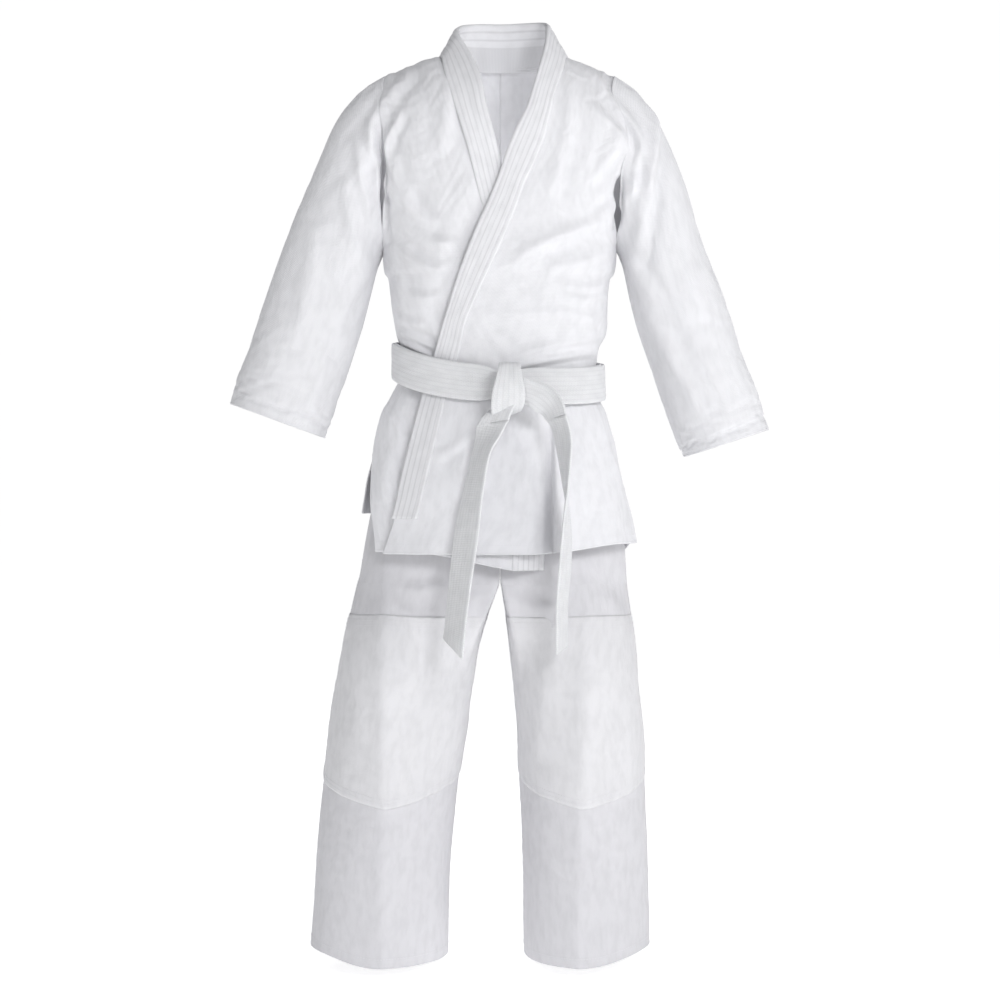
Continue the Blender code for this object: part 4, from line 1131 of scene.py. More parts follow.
SLEEVE_FOLDS = {
    "left": ARMHOLE_FOLDS + (
        (((0.166, 0.300), (0.172, 0.266), (0.160, 0.180), (0.146, 0.100)), 0.0075, 0.0045, 0.9),
        (((0.143, 0.238), (0.146, 0.210), (0.142, 0.180)), 0.0055, 0.0030, 0.9),
        (((0.135, 0.215), (0.150, 0.195), (0.150, 0.160)), 0.0060, 0.0026, 0.8),
        (((0.140, 0.130), (0.155, 0.095), (0.180, 0.060)), 0.0080, 0.0026, 0.6),
        (((0.150, 0.075), (0.175, 0.040), (0.200, -0.010)), 0.0100, 0.0026, 0.6),
        (((0.205, 0.190), (0.205, 0.120), (0.222, 0.050)), 0.0100, 0.0016, 0.5),
        (((0.180, 0.020), (0.205, -0.020), (0.222, -0.060)), 0.0090, 0.0018, 0.6),
    ),
    "right": ARMHOLE_FOLDS + (
        (((-0.144, 0.275), (-0.140, 0.245), (-0.138, 0.215)), 0.0060, 0.0036, 0.9),
        (((-0.158, 0.256), (-0.150, 0.205), (-0.142, 0.155)), 0.0065, 0.0034, 0.9),
        (((-0.132, 0.235), (-0.124, 0.200), (-0.128, 0.160)), 0.0055, 0.0024, 0.8),
        (((-0.170, 0.210), (-0.160, 0.150), (-0.146, 0.100)), 0.0085, 0.0026, 0.7),
        (((-0.142, 0.110), (-0.165, 0.080), (-0.180, 0.045)), 0.0080, 0.0022, 0.6),
        (((-0.200, 0.160), (-0.210, 0.090), (-0.224, 0.020)), 0.0110, 0.0018, 0.5),
        (((-0.185, 0.010), (-0.200, -0.015), (-0.210, -0.050)), 0.0090, 0.0018, 0.6),
    ),
}
for side, sign, seed in (("left", 1, 41), ("right", -1, 42)):
    edges = through(SLEEVE_EDGES[side], SLEEVE_ROWS)
    depth = through(SLEEVE_DEPTHS, SLEEVE_ROWS)[:, :1]
    outer, inner = (
        np.stack([edges[:, k], 0 * edges[:, k], edges[:, k + 1]], axis=1)[:, None] for k in (0, 2)
    )
    angle = sign * math.tau * np.arange(SLEEVE_COLUMNS) / SLEEVE_COLUMNS
    middle = (outer + inner) / 2
    ring = middle + (outer - middle) * signed_power(np.cos(angle), 0.95)[None, :, None]
    ring[..., 1] += depth * signed_power(np.sin(angle), 0.95)[None, :]
    ring = crumple(ring, height=0.0006, rows=16, columns=10, seed=seed, closed=True)
    ring = add_folds(ring, SLEEVE_FOLDS[side], closed=True, strength=1.5)
    held = np.full(ring.shape[:2], 0.25)
    held[-4:] = 1.0
    held[:3] = 0.6
    ring = armhole_drift(hang(ring, held, slack=0.007, most=0.005, closed=True))
    piece = add_cloth(side + "_jacket_sleeve", ring, JACKET_CLOTH, jacket_cotton, closed=True)
    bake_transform(piece)
    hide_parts(side + "_sleeve")
    grid_r, grid_c = np.meshgrid(np.linspace(0.0, 6.0, 6), np.arange(SLEEVE_COLUMNS), indexing="ij")
    cuff = on_grid(ring, grid_r, grid_c, -0.0024, closed=True)
    piece = add_cloth(side + "_cuff_hem", cuff, CUFF_CLOTH, jacket_cotton, closed=True)
    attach(piece, side + "_sleeve")
    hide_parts(side + "_cuff_facing")
    for row in (0.5, 5.2):
        around = np.linspace(0, SLEEVE_COLUMNS, 200)
        add_stitches(side + "_cuff", on_grid(ring, np.full(200, row), around, STITCH_LIFT, closed=True))


# ---------------------------------------------------------------- lapels and collar
# One long band of folded, stiffened cotton, quilted in lengthwise rows, runs from the belt
# up the under front, round the neck and down the outer front.

BAND_THICKNESS = 0.0050
BAND_PROUD = 0.0020
BAND_ROWS = 6
BAND_RIDGE = 0.0008
LAPEL_SLANT = 0.012
LAPEL_END_Z = -0.008
LINED_SHARE = 0.6
LINING_STEP = 0.0008
STRIP_SPACING = 0.0036
CHEST_LEVELS = (0.270, 0.245, 0.220, 0.196, 0.170, 0.140, 0.105, 0.075, 0.046, 0.022, LAPEL_END_Z)

# Where the band rises off the chest: level of its seam, then its free edge on the wearer's
# left and right.
COLLAR_RISE = (
    (0.342, (0.0515, -0.016, 0.3780), (-0.0455, -0.014, 0.3720)),
    (0.328, (0.0497, -0.034, 0.3590), (-0.0350, -0.032, 0.3520)),
    (0.312, (0.0455, -0.051, 0.3390), (-0.0255, -0.050, 0.3300)),
    (0.293, (0.0385, -0.066, 0.3130), (-0.0185, -0.066, 0.3075)),
)
# Seam edge and free edge of the band round the back of the neck, from right to left.
NECK_EDGES = (
    ((-0.0680, 0.0120, 0.3455), (-0.0485, 0.0080, 0.3840)),
    ((-0.0500, 0.0390, 0.3455), (-0.0415, 0.0290, 0.3935)),
    ((-0.0250, 0.0550, 0.3455), (-0.0230, 0.0440, 0.3985)),
    ((0.0040, 0.0600, 0.3455), (0.0040, 0.0490, 0.3995)),
    ((0.0330, 0.0550, 0.3455), (0.0290, 0.0440, 0.3995)),
    ((0.0580, 0.0390, 0.3455), (0.0475, 0.0290, 0.3965)),
    ((0.0755, 0.0120, 0.3455), (0.0525, 0.0080, 0.3895)),
)


def unit(vectors):
    """Vectors made one metre long."""
    return vectors / np.maximum(np.linalg.norm(vectors, axis=-1, keepdims=True), 1e-9)


def evenly(first, second, spacing):
    """Two edges of a strip, read smoothly through their stops at an even spacing."""
    count = len(first) * 24
    a = through(first, count)
    b = through(second, count)
    walked = lengths((a + b) / 2)
    place = np.linspace(0.0, walked[-1], max(4, int(walked[-1] / spacing)))
    a = np.stack([np.interp(place, walked, a[:, k]) for k in range(3)], axis=1)
    b = np.stack([np.interp(place, walked, b[:, k]) for k in range(3)], axis=1)
    return a, b


def share_across(columns):
    """How far across a strip each point of its closed section lies, and its angle."""
    theta = math.pi - math.tau * np.arange(columns) / columns
    return 0.5 + 0.5 * signed_power(np.cos(theta), 0.62), theta


def strip_section(a, b, normal, thickness, rows, ridge, columns, lined=False):
    """Closed sections of a flat quilted strip between two edges, its inside lined if asked."""
    across, theta = share_across(columns)
    height = 0.5 * thickness * signed_power(np.sin(theta), 0.42)
    quilted = ridge * np.sqrt(np.abs(np.sin(math.pi * rows * across))) * np.sign(np.sin(theta))
    inside = np.clip(np.minimum(across, 1 - across) / 0.04, 0.0, 1.0)
    height = height + quilted * inside
    if lined:
        closing = np.abs(signed_power(np.sin(theta), 0.42))
        lining = 0.5 * thickness * (0.35 + 0.65 * ease(across / 0.35)) + LINING_STEP * (across < LINED_SHARE)
        height = np.where((np.sin(theta) < 0) & (across < LINED_SHARE), -lining * closing, height)
    points = a[:, None] + (b - a)[:, None] * across[None, :, None]
    return points + normal[:, None] * height[None, :, None]


def add_strip(name, sections, material, width, lined=False):
    """A closed mesh over the sections of a strip, with capped ends and a UV map in metres."""
    count, columns = sections.shape[:2]
    mesh = bpy.data.meshes.new(name)
    faces = quads(count, columns, True)
    for base in (0, (count - 1) * columns):
        for c in range(columns // 2 - 1):
            d = columns - 1 - c
            corners = (c, c + 1, d - 1, d) if c + 1 < d - 1 else (c, c + 1, d)
            faces.append(tuple(base + corner for corner in corners))
    mesh.from_pydata(sections.reshape(-1, 3).tolist(), [], faces)
    walk = lengths(sections.mean(axis=1))
    across, theta = share_across(columns)
    # On the lined inside, u is held at LINED_SHARE - 0.1 of the width, which falls on a sewn line, so the
    # painted row shade darkens the whole lining evenly: painted shade inside the neck.
    u = width * np.where(lined & (np.sin(theta) < 0), np.maximum(across, LINED_SHARE - 0.1), across)
    index = np.zeros(len(mesh.loops), int)
    mesh.loops.foreach_get("vertex_index", index)
    corners = np.stack([u[index % columns], walk[index // columns]], axis=1)
    mesh.uv_layers.new(name="UVMap").data.foreach_set("uv", corners.astype(np.float32).ravel())
    shell = bmesh.new()
    shell.from_mesh(mesh)
    bmesh.ops.recalc_face_normals(shell, faces=shell.faces)
    shell.to_mesh(mesh)
    shell.free()
    mesh.polygons.foreach_set("use_smooth", [True] * len(mesh.polygons))
    return add_piece(name, mesh, material)


def lapel_stops(rows, levels, under):
    """Seam edge and free edge stops of the band where it lies on the front."""
    seams = []
    frees = []
    for z in levels:
        free_z = z + LAPEL_SLANT * float(ease((z + 0.045) / 0.03))
        seam = front_at(float(lapel_x(rows, z, 0)), z)
        pair = np.array([seam, front_at(float(lapel_x(rows, free_z, 1)), free_z)])
        if under:
            pair = tuck_under(pair)
        seams.append(pair[0])
        frees.append(pair[1])
    return seams, frees


def band_normals(seam, free):
    """Which way the band faces: level on the belly, square to the band round the neck."""
    normal = unit(np.cross(free - seam, np.gradient(seam + free, axis=0)))
    normal[:, 2] *= ease((seam[:, 2] - 0.10) / 0.10)
    return unit(normal)


outer_seam, outer_free = lapel_stops(LAPEL_ROWS, CHEST_LEVELS, False)
under_seam, under_free = lapel_stops(UNDER_LAPEL_ROWS, CHEST_LEVELS, True)
outer_rise, under_rise = (
    [front_at(float(lapel_x(rows, z, 0)), z) for z, _, _ in COLLAR_RISE]
    for rows in (LAPEL_ROWS, UNDER_LAPEL_ROWS)
)
seam_stops = (under_rise + under_seam)[::-1] + [seam for seam, _ in NECK_EDGES] + outer_rise + outer_seam
free_stops = ([right for _, _, right in COLLAR_RISE] + under_free)[::-1]
free_stops += [free for _, free in NECK_EDGES] + [left for _, left, _ in COLLAR_RISE] + outer_free
band_seam, band_free = evenly(np.array(seam_stops, float), np.array(free_stops, float), STRIP_SPACING)
band_out = band_normals(band_seam, band_free)

# row_shade darkens the colour in the hollows between the quilted rows and over the lining: painted shade.
lapel_cotton = woven_cotton(
    "lapel_drill", (0.835, 0.835, 0.85), "drill", 0.0012, 0.0010, 0.00018,
    row_pitch=float(np.linalg.norm(band_free - band_seam, axis=1).mean()) / BAND_ROWS, row_shade=0.86,
)


def quilt(name, seam, free, out, group, material, rows=BAND_ROWS, thickness=BAND_THICKNESS, proud=BAND_PROUD,
          ridge=BAND_RIDGE, columns=56, lined=False):
    """A quilted strip with a line of stitches in each valley."""
    middle = out * (proud - thickness / 2)
    sections = strip_section(seam + middle, free + middle, out, thickness, rows, ridge, columns, lined)
    piece = add_strip(name, sections, material, float(np.linalg.norm(free - seam, axis=1).mean()), lined)
    for k in range(1, rows):
        add_stitches(group, seam + (free - seam) * (k / rows) + out * (proud + STITCH_LIFT / 2))
    return piece


band = quilt("quilted_lapel_band", band_seam, band_free, band_out, "jacket", lapel_cotton, lined=True)
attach(band, "jacket")
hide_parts("collar_band", "collar_core")


# ---------------------------------------------------------------- jacket skirts
# Below the belt the fronts and the back hang loose, open at both sides. The outer front
# falls into one deep pleat beside the knot.

SKIRT_START = (0, 0, -0.030)
SKIRT_END = (0, 0, -0.085)
SKIRT_ROWS = 64
SKIRT_COLUMNS = 100
PLEAT_DEPTH = 0.021
PLEAT_LAP = 0.009
PLEAT_EDGE_X = 0.060
PLEAT_EDGE_DRIFT = 0.008
UNDER_PLEAT_SHIFT = 0.003
SIDE_VENT = math.radians(88)

SKIRT_FOLDS = (
    (((0.117, -0.050), (0.128, -0.090), (0.122, -0.150), (0.126, -0.215)), 0.012, 0.0030, 0.6),
    (((0.030, -0.060), (0.024, -0.110), (0.016, -0.170), (0.018, -0.215)), 0.013, 0.0022, 0.5),
    (((-0.020, -0.045), (-0.036, -0.090), (-0.040, -0.150), (-0.038, -0.215)), 0.012, 0.0020, 0.5),
    (((-0.030, -0.070), (-0.055, -0.092), (-0.070, -0.100)), 0.006, 0.0016, 0.6),
    (((-0.108, -0.070), (-0.118, -0.100), (-0.128, -0.150)), 0.009, 0.0022, 0.6),
    (((-0.126, -0.040), (-0.112, -0.062), (-0.104, -0.080)), 0.005, 0.0024, 0.8),
    (((0.085, -0.050), (0.092, -0.100), (0.090, -0.160)), 0.010, 0.0016, 0.5),
)
BACK_SKIRT_FOLDS = (
    (((-0.090, -0.020), (-0.100, -0.090), (-0.106, -0.215)), 0.014, 0.0040, 0.5),
    (((-0.030, -0.020), (-0.034, -0.090), (-0.030, -0.215)), 0.014, 0.0036, 0.5),
    (((0.030, -0.020), (0.040, -0.100), (0.044, -0.215)), 0.014, 0.0036, 0.5),
    (((0.085, -0.020), (0.098, -0.100), (0.106, -0.215)), 0.014, 0.0040, 0.5),
)


def hem_z(x, under):
    """Level of a front's hem: the under one hangs lower in the middle."""
    if under:
        return -0.2015 - 0.021 * ease((x + 0.10) / 0.14)
    return -0.2035 + 0.011 * ease((x - 0.04) / 0.10)


def skirt_drop(z):
    """How far down the skirt a level is, from 0 at the belt to 1 at the hem."""
    return ease((-0.028 - z) / 0.17)


def pleat(x, z):
    """Depth of the deep pleat: it rolls in from the left and comes out sharply on the right."""
    drop = skirt_drop(z)
    left = 0.040 - 0.010 * drop
    floor_x = 0.055 + 0.004 * drop
    right = PLEAT_EDGE_X + PLEAT_EDGE_DRIFT * drop
    roll = ease((x - left) / (floor_x - left))
    back = 1.0 - ease((x - floor_x) / (right - floor_x))
    return PLEAT_DEPTH * (0.25 + 0.75 * drop) * roll * back


def skirt_front(side, lapel, under):
    """Rows of a skirt front from the hem up to the belt, columns from left to right."""
    share = np.linspace(0.0, 1.0, SKIRT_COLUMNS)
    rows = []
    for up in np.linspace(0.0, 1.0, SKIRT_ROWS):
        z = np.full(SKIRT_COLUMNS, -0.1)
        for _ in range(8):
            seam = lapel_x(lapel, z, 0) + LAPEL_TUCK
            if not under:
                seam = lapel_x(lapel, z, 1) + 0.003
            start = angle_at(z - ARMPIT_Z, seam, -1)
            hang_low = ease((belt_z(0.0) - z) / 0.20)
            stop = side * (SIDE_VENT - (math.radians(32) * hang_low if under else 0.0))
            angle = start + (stop - start) * (share if side > 0 else 1.0 - share)
            x = torso_point(z - ARMPIT_Z, angle, -1)[..., 0]
            hem = hem_z(x, under)
            z = hem + (belt_z(angle) - hem) * up
        rows.append(torso_point(z - ARMPIT_Z, angle, -1))
    return np.array(rows)


def skirt_back():
    """Rows of the back skirt from the hem up to the belt, its right corner turned up."""
    rows = []
    angle = np.linspace(math.radians(87), -math.radians(87), 104)
    for up in np.linspace(0.0, 1.0, SKIRT_ROWS):
        hem = -0.206 + 0.018 * ease((angle - 1.0) / 0.5) + 0.046 * ease((-angle - 0.80) / 0.40)
        z = hem + (belt_z(math.pi - angle) - hem) * up
        rows.append(torso_point(z - ARMPIT_Z, angle, 1))
    return np.array(rows)


skirt_cotton = woven_cotton("skirt_drill", (0.855, 0.855, 0.875), *DRILL)

for name, seed, body, node, width, area in (
    ("outer_skirt_front", 51, "front_skirt", "skirt_front_left", 0.30, 0.054),
    ("under_skirt_front", 52, "front_skirt", "skirt_front_right", 0.22, 0.037),
    ("skirt_back_panel", 53, "back_skirt", "skirt_back", 0.40, 0.074),
):
    if node == "skirt_front_left":
        panel = skirt_front(1, LAPEL_ROWS, False)
    elif node == "skirt_front_right":
        panel = skirt_front(-1, UNDER_LAPEL_ROWS, True)
    else:
        panel = skirt_back()
    panel = crumple(panel, height=0.0005, rows=14, columns=9, seed=seed)
    folds, facing = (BACK_SKIRT_FOLDS, 1) if node == "skirt_back" else (SKIRT_FOLDS, -1)
    panel = add_folds(panel, folds, facing=facing)
    held = np.full(panel.shape[:2], 0.3)
    held[-6:] = 1.0
    panel = hang(panel, held, slack=0.006, most=0.003)
    if node == "skirt_front_left":
        x = panel[..., 0].copy()
        drop = skirt_drop(panel[..., 2])
        panel[..., 1] += pleat(x, panel[..., 2])
        lap = np.exp(-((x - PLEAT_EDGE_X - PLEAT_EDGE_DRIFT * drop) / 0.0065) ** 2)
        panel[..., 0] -= PLEAT_LAP * drop * lap
        panel[..., 1] -= 0.002 * drop * lap
    if node == "skirt_front_right":
        panel = tuck_under(panel)
        panel[..., 1] += pleat(panel[..., 0] + UNDER_PLEAT_SHIFT, panel[..., 2])
    piece = add_cloth(name, panel, JACKET_CLOTH, skirt_cotton)
    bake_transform(piece)
    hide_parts(node)
    across = np.linspace(0, panel.shape[1] - 1, 160)
    for row in (0.6, 3.4):
        add_stitches(body, on_grid(panel, np.full(160, row), across, STITCH_LIFT))

# The band's lower ends lie on the skirt fronts.
for name, rows, under, hem, node in (
    ("outer_skirt_lapel", LAPEL_ROWS, False, -0.166, "skirt_lapel_left"),
    ("under_skirt_lapel", UNDER_LAPEL_ROWS, True, -0.2215, "skirt_lapel_right"),
):
    levels = list(np.linspace(LAPEL_END_Z, hem, 9))
    seam, free = lapel_stops(rows, levels, under)
    seam, free = evenly(np.array(seam), np.array(free), STRIP_SPACING)
    if under:
        for edge in (seam, free):
            edge[:, 1] += pleat(edge[:, 0] + UNDER_PLEAT_SHIFT, edge[:, 2])
    out = band_normals(seam, free) * np.array([1.0, 1.0, 0.0])
    out = unit(out) * (-1.0 if out[:, 1].mean() > 0 else 1.0)
    piece = quilt(name, seam, free, out, "front_skirt_band", lapel_cotton)
    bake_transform(piece)
    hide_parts(node)


# ---------------------------------------------------------------- belt
# A folded cotton strap sewn in eight lengthwise rows. It goes twice round the waist and is
# tied in front; its two ends hang down over the skirt, turned on edge.

BELT_WIDTH = 0.0395
BELT_THICKNESS = 0.0026
BELT_CLEARANCE = 0.0036
BELT_ROWS = 8
BELT_RIDGE = 0.00032
BELT_COLUMNS = 64
BELT_STEPS = 260
TAIL_THICKNESS = 0.0032
KNOT_THICKNESS = 0.0034
KNOT_X = 0.006
TAIL_BEND_START = (0, 0, -0.055)
TAIL_BEND_END = (0, 0, -0.085)

# row_shade paints a faint shade into the hollows between the belt's sewn rows.
belt_cotton = woven_cotton(
    "belt_webbing", (0.85, 0.855, 0.865), "rice", 0.0026, 0.0019, 0.00045,
    row_pitch=BELT_WIDTH / BELT_ROWS, row_shade=0.94,
)



def strap(name, first, second, out, group, thickness):
    """A length of the belt between two edges."""
    return quilt(name, first, second, out, group, belt_cotton, BELT_ROWS, thickness, thickness / 2,
                 BELT_RIDGE, BELT_COLUMNS)


for name, outset, lift, node in (
    ("belt_inside_turn", BELT_CLEARANCE, 0.0, "belt_inner_turn"),
    ("belt_outside_turn", BELT_CLEARANCE + BELT_THICKNESS + 0.0008, -0.0006, "belt_outer_turn"),
):
    angle = np.linspace(0.0, math.tau, BELT_STEPS)
    middle = belt_z(angle) + lift + 0.0009 * np.sin(angle * 3 + 0.7)
    x, y = outline(sizes_at(JACKET_ROWS, middle), angle, outset + BELT_THICKNESS / 2)
    near = np.exp(-((x - KNOT_X) / 0.017) ** 2) * (np.cos(angle) > 0)
    y = y - 0.0020 * near
    edges = []
    for way in (-1, 1):
        level = belt_z(angle) + way * BELT_WIDTH / 2
        edge_x, edge_y = outline(sizes_at(JACKET_ROWS, level), angle, outset + BELT_THICKNESS / 2)
        half = way * BELT_WIDTH / 2 * (1.0 - 0.36 * near)
        edges.append(np.stack([x * 0.35 + edge_x * 0.65, y * 0.35 + edge_y * 0.65, middle + half], axis=1))
    bottom, top = edges
    out = unit(np.stack([np.gradient(y), -np.gradient(x), 0 * x], axis=1))
    out[0] = out[-1] = (0.0, -1.0, 0.0)
    bottom[-1], top[-1] = bottom[0], top[0]
    group = "belt_ring" if node == "belt_outer_turn" else "belt_hidden"
    piece = strap(name, bottom, top, out, group, BELT_THICKNESS)
    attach(piece, "jacket")
    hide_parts(node)


def station_edges(stations, spacing):
    """Both edges of a strap through its stations."""
    middle = np.array([m for m, _ in stations], float)
    half = np.array([h for _, h in stations], float)
    return evenly(middle - half, middle + half, spacing)


# A station of a strap is its middle and half its width as a vector.
LEFT_TAIL = (
    ((0.0590, -0.1232, -0.0580), (0.0095, -0.0165, 0.0020)),
    ((0.0640, -0.1225, -0.0690), (0.0085, -0.0170, 0.0010)),
    ((0.0675, -0.1225, -0.0880), (0.0070, -0.0165, 0.0010)),
    ((0.0695, -0.1240, -0.1300), (0.0020, -0.0185, 0.0)),
    ((0.0705, -0.1250, -0.1650), (-0.0035, -0.0180, 0.0)),
    ((0.0690, -0.1260, -0.2100), (-0.0062, -0.0175, 0.0)),
    ((0.0655, -0.1265, -0.2560), (-0.0060, -0.0175, 0.0)),
    ((0.0650, -0.1275, -0.3040), (-0.0060, -0.0178, 0.0)),
)
RIGHT_TAIL = (
    ((-0.0080, -0.1150, -0.0640), (0.0150, -0.0080, 0.0020)),
    ((-0.0130, -0.1160, -0.0790), (0.0125, -0.0140, 0.0)),
    ((-0.0200, -0.1190, -0.0980), (0.0095, -0.0165, 0.0)),
    ((-0.0290, -0.1225, -0.1420), (0.0105, -0.0155, 0.0)),
    ((-0.0360, -0.1245, -0.1870), (0.0127, -0.0141, 0.0)),
    ((-0.0430, -0.1255, -0.2420), (0.0115, -0.0150, 0.0)),
    ((-0.0495, -0.1265, -0.3020), (0.0105, -0.0158, 0.0)),
)
for name, stations, body, slant in (
    ("left_belt_end", LEFT_TAIL, "belt_tail_left", 0.003),
    ("right_belt_end", RIGHT_TAIL, "belt_tail_right", 0.010),
):
    first, second = station_edges(stations, 0.0030)
    first = (first + second) / 2 + unit(first - second) * (BELT_WIDTH * 0.485)
    second = first + unit(second - first) * (BELT_WIDTH * 0.97)
    share = np.linspace(0.0, 1.0, len(first))[:, None]
    cut = np.array([0.0, 0.0, slant]) * np.exp((share - 1.0) * 18.0)
    first = first + cut
    second = second - cut
    out = unit(np.cross(second - first, np.gradient(first + second, axis=0)))
    piece = strap(name, first, second, out, body, TAIL_THICKNESS)
    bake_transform(piece)
    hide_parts(body)

# The knot: one end wraps over the crossing, the other end comes out to the wearer's left and
# folds down, and the first one comes out below.
KNOT_WRAP = (
    ((0.0100, -0.0930, -0.0040), (0.0105, 0.0, 0.0)),
    ((0.0100, -0.1050, -0.0005), (0.0110, 0.0, 0.0)),
    ((0.0100, -0.1150, -0.0050), (0.0120, 0.0, 0.0)),
    ((0.0095, -0.1200, -0.0180), (0.0145, 0.0, 0.0005)),
    ((0.0090, -0.1210, -0.0310), (0.0175, 0.0, 0.0015)),
    ((0.0085, -0.1190, -0.0430), (0.0180, 0.0, 0.0030)),
    ((0.0080, -0.1120, -0.0520), (0.0165, 0.0, 0.0045)),
    ((0.0080, -0.1010, -0.0540), (0.0150, 0.0, 0.0045)),
)
LEFT_END_TOP = (
    ((0.0100, -0.1080, -0.0290), (0.0, -0.002, 0.0130)),
    ((0.0240, -0.1165, -0.0300), (-0.002, -0.001, 0.0145)),
    ((0.0360, -0.1205, -0.0340), (0.0040, -0.001, 0.0135)),
    ((0.0470, -0.1225, -0.0400), (0.0090, -0.006, 0.0120)),
    ((0.0555, -0.1232, -0.0490), (0.0105, -0.0135, 0.0060)),
    ((0.0600, -0.1230, -0.0600), (0.0095, -0.0165, 0.0022)),
)
RIGHT_END_TOP = (
    ((0.0100, -0.1060, -0.0380), (0.0130, -0.0040, 0.0060)),
    ((0.0040, -0.1120, -0.0460), (0.0150, -0.0050, 0.0050)),
    ((-0.0030, -0.1150, -0.0550), (0.0160, -0.0060, 0.0030)),
    ((-0.0085, -0.1150, -0.0660), (0.0168, -0.0088, 0.0022)),
)
for name, stations, nodes in (
    ("knot_wrap", KNOT_WRAP, ("belt_knot_wrap", "belt_knot_core")),
    ("left_end_root", LEFT_END_TOP, ()),
    ("right_end_root", RIGHT_END_TOP, ()),
):
    first, second = station_edges(stations, 0.0016)
    out = unit(np.cross(second - first, np.gradient(first + second, axis=0)))
    if out[:, 1].mean() > 0:
        out = -out
    piece = strap(name, first, second, out, "knot", KNOT_THICKNESS)
    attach(piece, "jacket")
    if nodes:
        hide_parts(*nodes)


# ---------------------------------------------------------------- stitches
# Every sewn row is a line of short threads lying along its seam, spread along the line by
# Geometry Nodes and kept as one mesh for each body.

STITCH_PITCH = 0.0032
STITCH_LENGTH = 0.0024
THREAD_RADIUS = 0.00028

thread = woven_cotton("sewing_thread", (0.86, 0.86, 0.88), "rib", 0.0008, 0.0004, 0.00005)


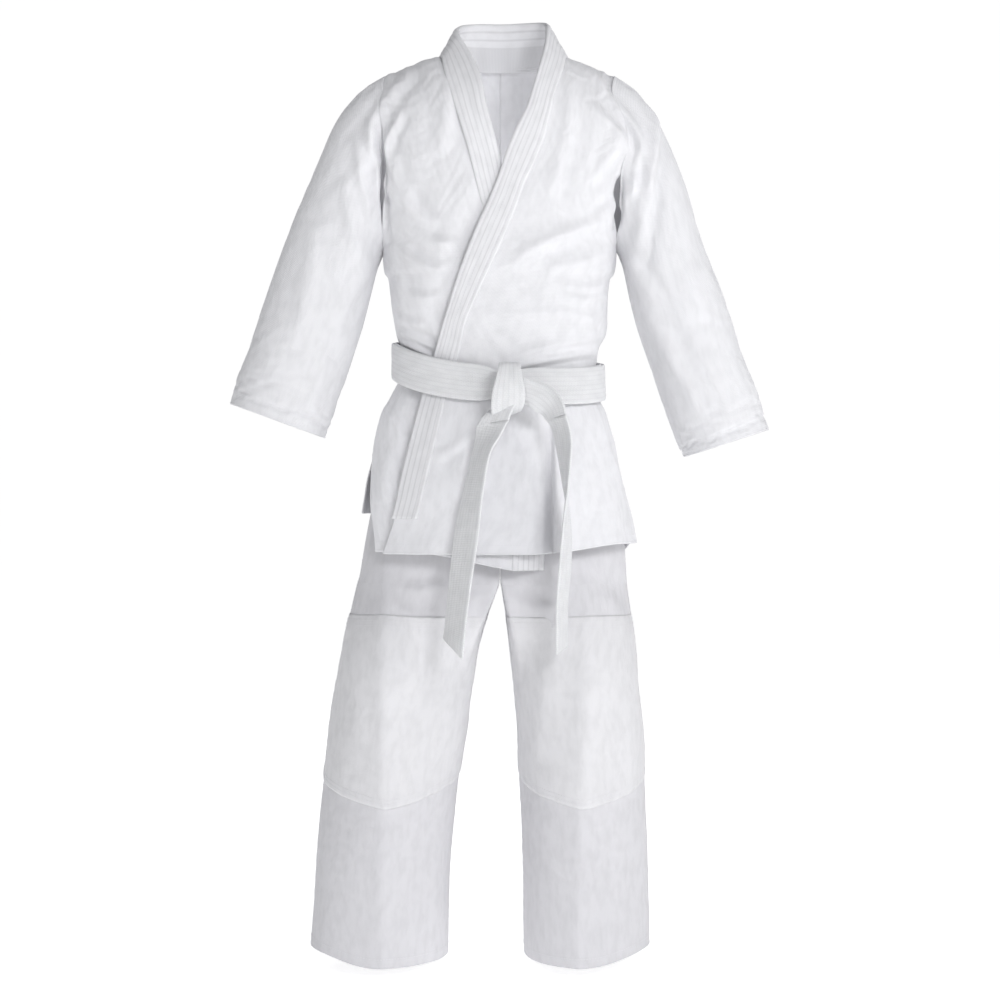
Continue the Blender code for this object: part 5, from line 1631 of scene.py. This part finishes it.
def stitch_nodes():
    """A node group that lays a short thread at every step along the edges of a mesh."""
    group = bpy.data.node_groups.new("Row of stitches", "GeometryNodeTree")
    sockets = {}
    for label, kind, value in (
        ("Seam lines", "NodeSocketGeometry", None),
        ("Pitch", "NodeSocketFloat", STITCH_PITCH),
        ("Stitch length", "NodeSocketFloat", STITCH_LENGTH),
        ("Thread radius", "NodeSocketFloat", THREAD_RADIUS),
        ("Thread", "NodeSocketMaterial", None),
    ):
        socket = group.interface.new_socket(label, in_out="INPUT", socket_type=kind)
        if value is not None:
            socket.default_value = value
        sockets[label] = socket.identifier
    group.interface.new_socket("Stitches", in_out="OUTPUT", socket_type="NodeSocketGeometry")
    nodes = group.nodes
    links = group.links

    given = nodes.new("NodeGroupInput")
    given.label = "Seam lines and sizes"
    curve = nodes.new("GeometryNodeMeshToCurve")
    curve.label = "Lines to curves"
    links.new(given.outputs["Seam lines"], curve.inputs["Mesh"])
    steps = nodes.new("GeometryNodeCurveToPoints")
    steps.label = "One point a stitch"
    steps.mode = "LENGTH"
    links.new(curve.outputs["Curve"], steps.inputs["Curve"])
    links.new(given.outputs["Pitch"], steps.inputs["Length"])
    bead = nodes.new("GeometryNodeMeshUVSphere")
    bead.label = "Thread end to end"
    bead.inputs["Segments"].default_value = 6
    bead.inputs["Rings"].default_value = 4
    bead.inputs["Radius"].default_value = 1.0
    half = nodes.new("ShaderNodeMath")
    half.label = "Half a stitch"
    half.operation = "MULTIPLY"
    half.inputs[1].default_value = 0.5
    links.new(given.outputs["Stitch length"], half.inputs[0])
    size = nodes.new("ShaderNodeCombineXYZ")
    size.label = "Long and thin"
    links.new(given.outputs["Thread radius"], size.inputs["X"])
    links.new(given.outputs["Thread radius"], size.inputs["Y"])
    links.new(half.outputs["Value"], size.inputs["Z"])
    lay = nodes.new("GeometryNodeInstanceOnPoints")
    lay.label = "Lay the stitches"
    links.new(steps.outputs["Points"], lay.inputs["Points"])
    links.new(bead.outputs["Mesh"], lay.inputs["Instance"])
    links.new(steps.outputs["Rotation"], lay.inputs["Rotation"])
    links.new(size.outputs["Vector"], lay.inputs["Scale"])
    real = nodes.new("GeometryNodeRealizeInstances")
    real.label = "One mesh"
    links.new(lay.outputs["Instances"], real.inputs["Geometry"])
    sewn = nodes.new("GeometryNodeSetMaterial")
    sewn.label = "Thread"
    links.new(real.outputs["Geometry"], sewn.inputs["Geometry"])
    links.new(given.outputs["Thread"], sewn.inputs["Material"])
    done = nodes.new("NodeGroupOutput")
    done.label = "Stitches"
    links.new(sewn.outputs["Geometry"], done.inputs["Stitches"])
    for member, x, y in (
        (given, -900, 0), (curve, -650, 100), (steps, -430, 100), (bead, -430, -150),
        (half, -650, -350), (size, -430, -350), (lay, -180, 0), (real, 50, 0), (sewn, 250, 0),
        (done, 450, 0),
    ):
        member.location = (x, y)
    return group, sockets


sewing, sewing_inputs = stitch_nodes()
STITCH_MOTIONS = {
    "trousers": ("trousers",),
    "left_patch": ("trousers", "left_leg", LEG_BEND_START, LEG_BEND_END),
    "right_patch": ("trousers", "right_leg", LEG_BEND_START, LEG_BEND_END),
    "left_leg": ("left_leg",),
    "right_leg": ("right_leg",),
    "left_cuff": ("left_sleeve",),
    "right_cuff": ("right_sleeve",),
    "jacket": ("jacket",),
    "belt_ring": ("jacket",),
    "knot": ("jacket",),
    "front_skirt": ("front_skirt",),
    "back_skirt": ("back_skirt",),
    "front_skirt_band": ("jacket", "front_skirt", SKIRT_START, SKIRT_END),
    "belt_tail_left": ("front_skirt", "belt_tail_left", TAIL_BEND_START, TAIL_BEND_END),
    "belt_tail_right": ("front_skirt", "belt_tail_right", TAIL_BEND_START, TAIL_BEND_END),
}
for group, motion in STITCH_MOTIONS.items():
    places = []
    edges = []
    for line in stitch_lines[group]:
        edges += [(len(places) + k, len(places) + k + 1) for k in range(len(line) - 1)]
        places += line.tolist()
    seam_mesh = bpy.data.meshes.new(group + "_seams")
    seam_mesh.from_pydata(places, edges, [])
    piece = add_piece(group + "_stitches", seam_mesh, None)
    spread = piece.modifiers.new("Stitches", "NODES")
    spread.node_group = sewing
    spread[sewing_inputs["Thread"]] = thread
    shape = piece.evaluated_get(bpy.context.evaluated_depsgraph_get())
    sewn_mesh = bpy.data.meshes.new_from_object(shape)
    piece.modifiers.remove(spread)
    piece.data = sewn_mesh
    bpy.data.meshes.remove(seam_mesh)
    if len(motion) == 1:
        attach(piece, *motion)
    else:
        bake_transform(piece)

low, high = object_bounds()
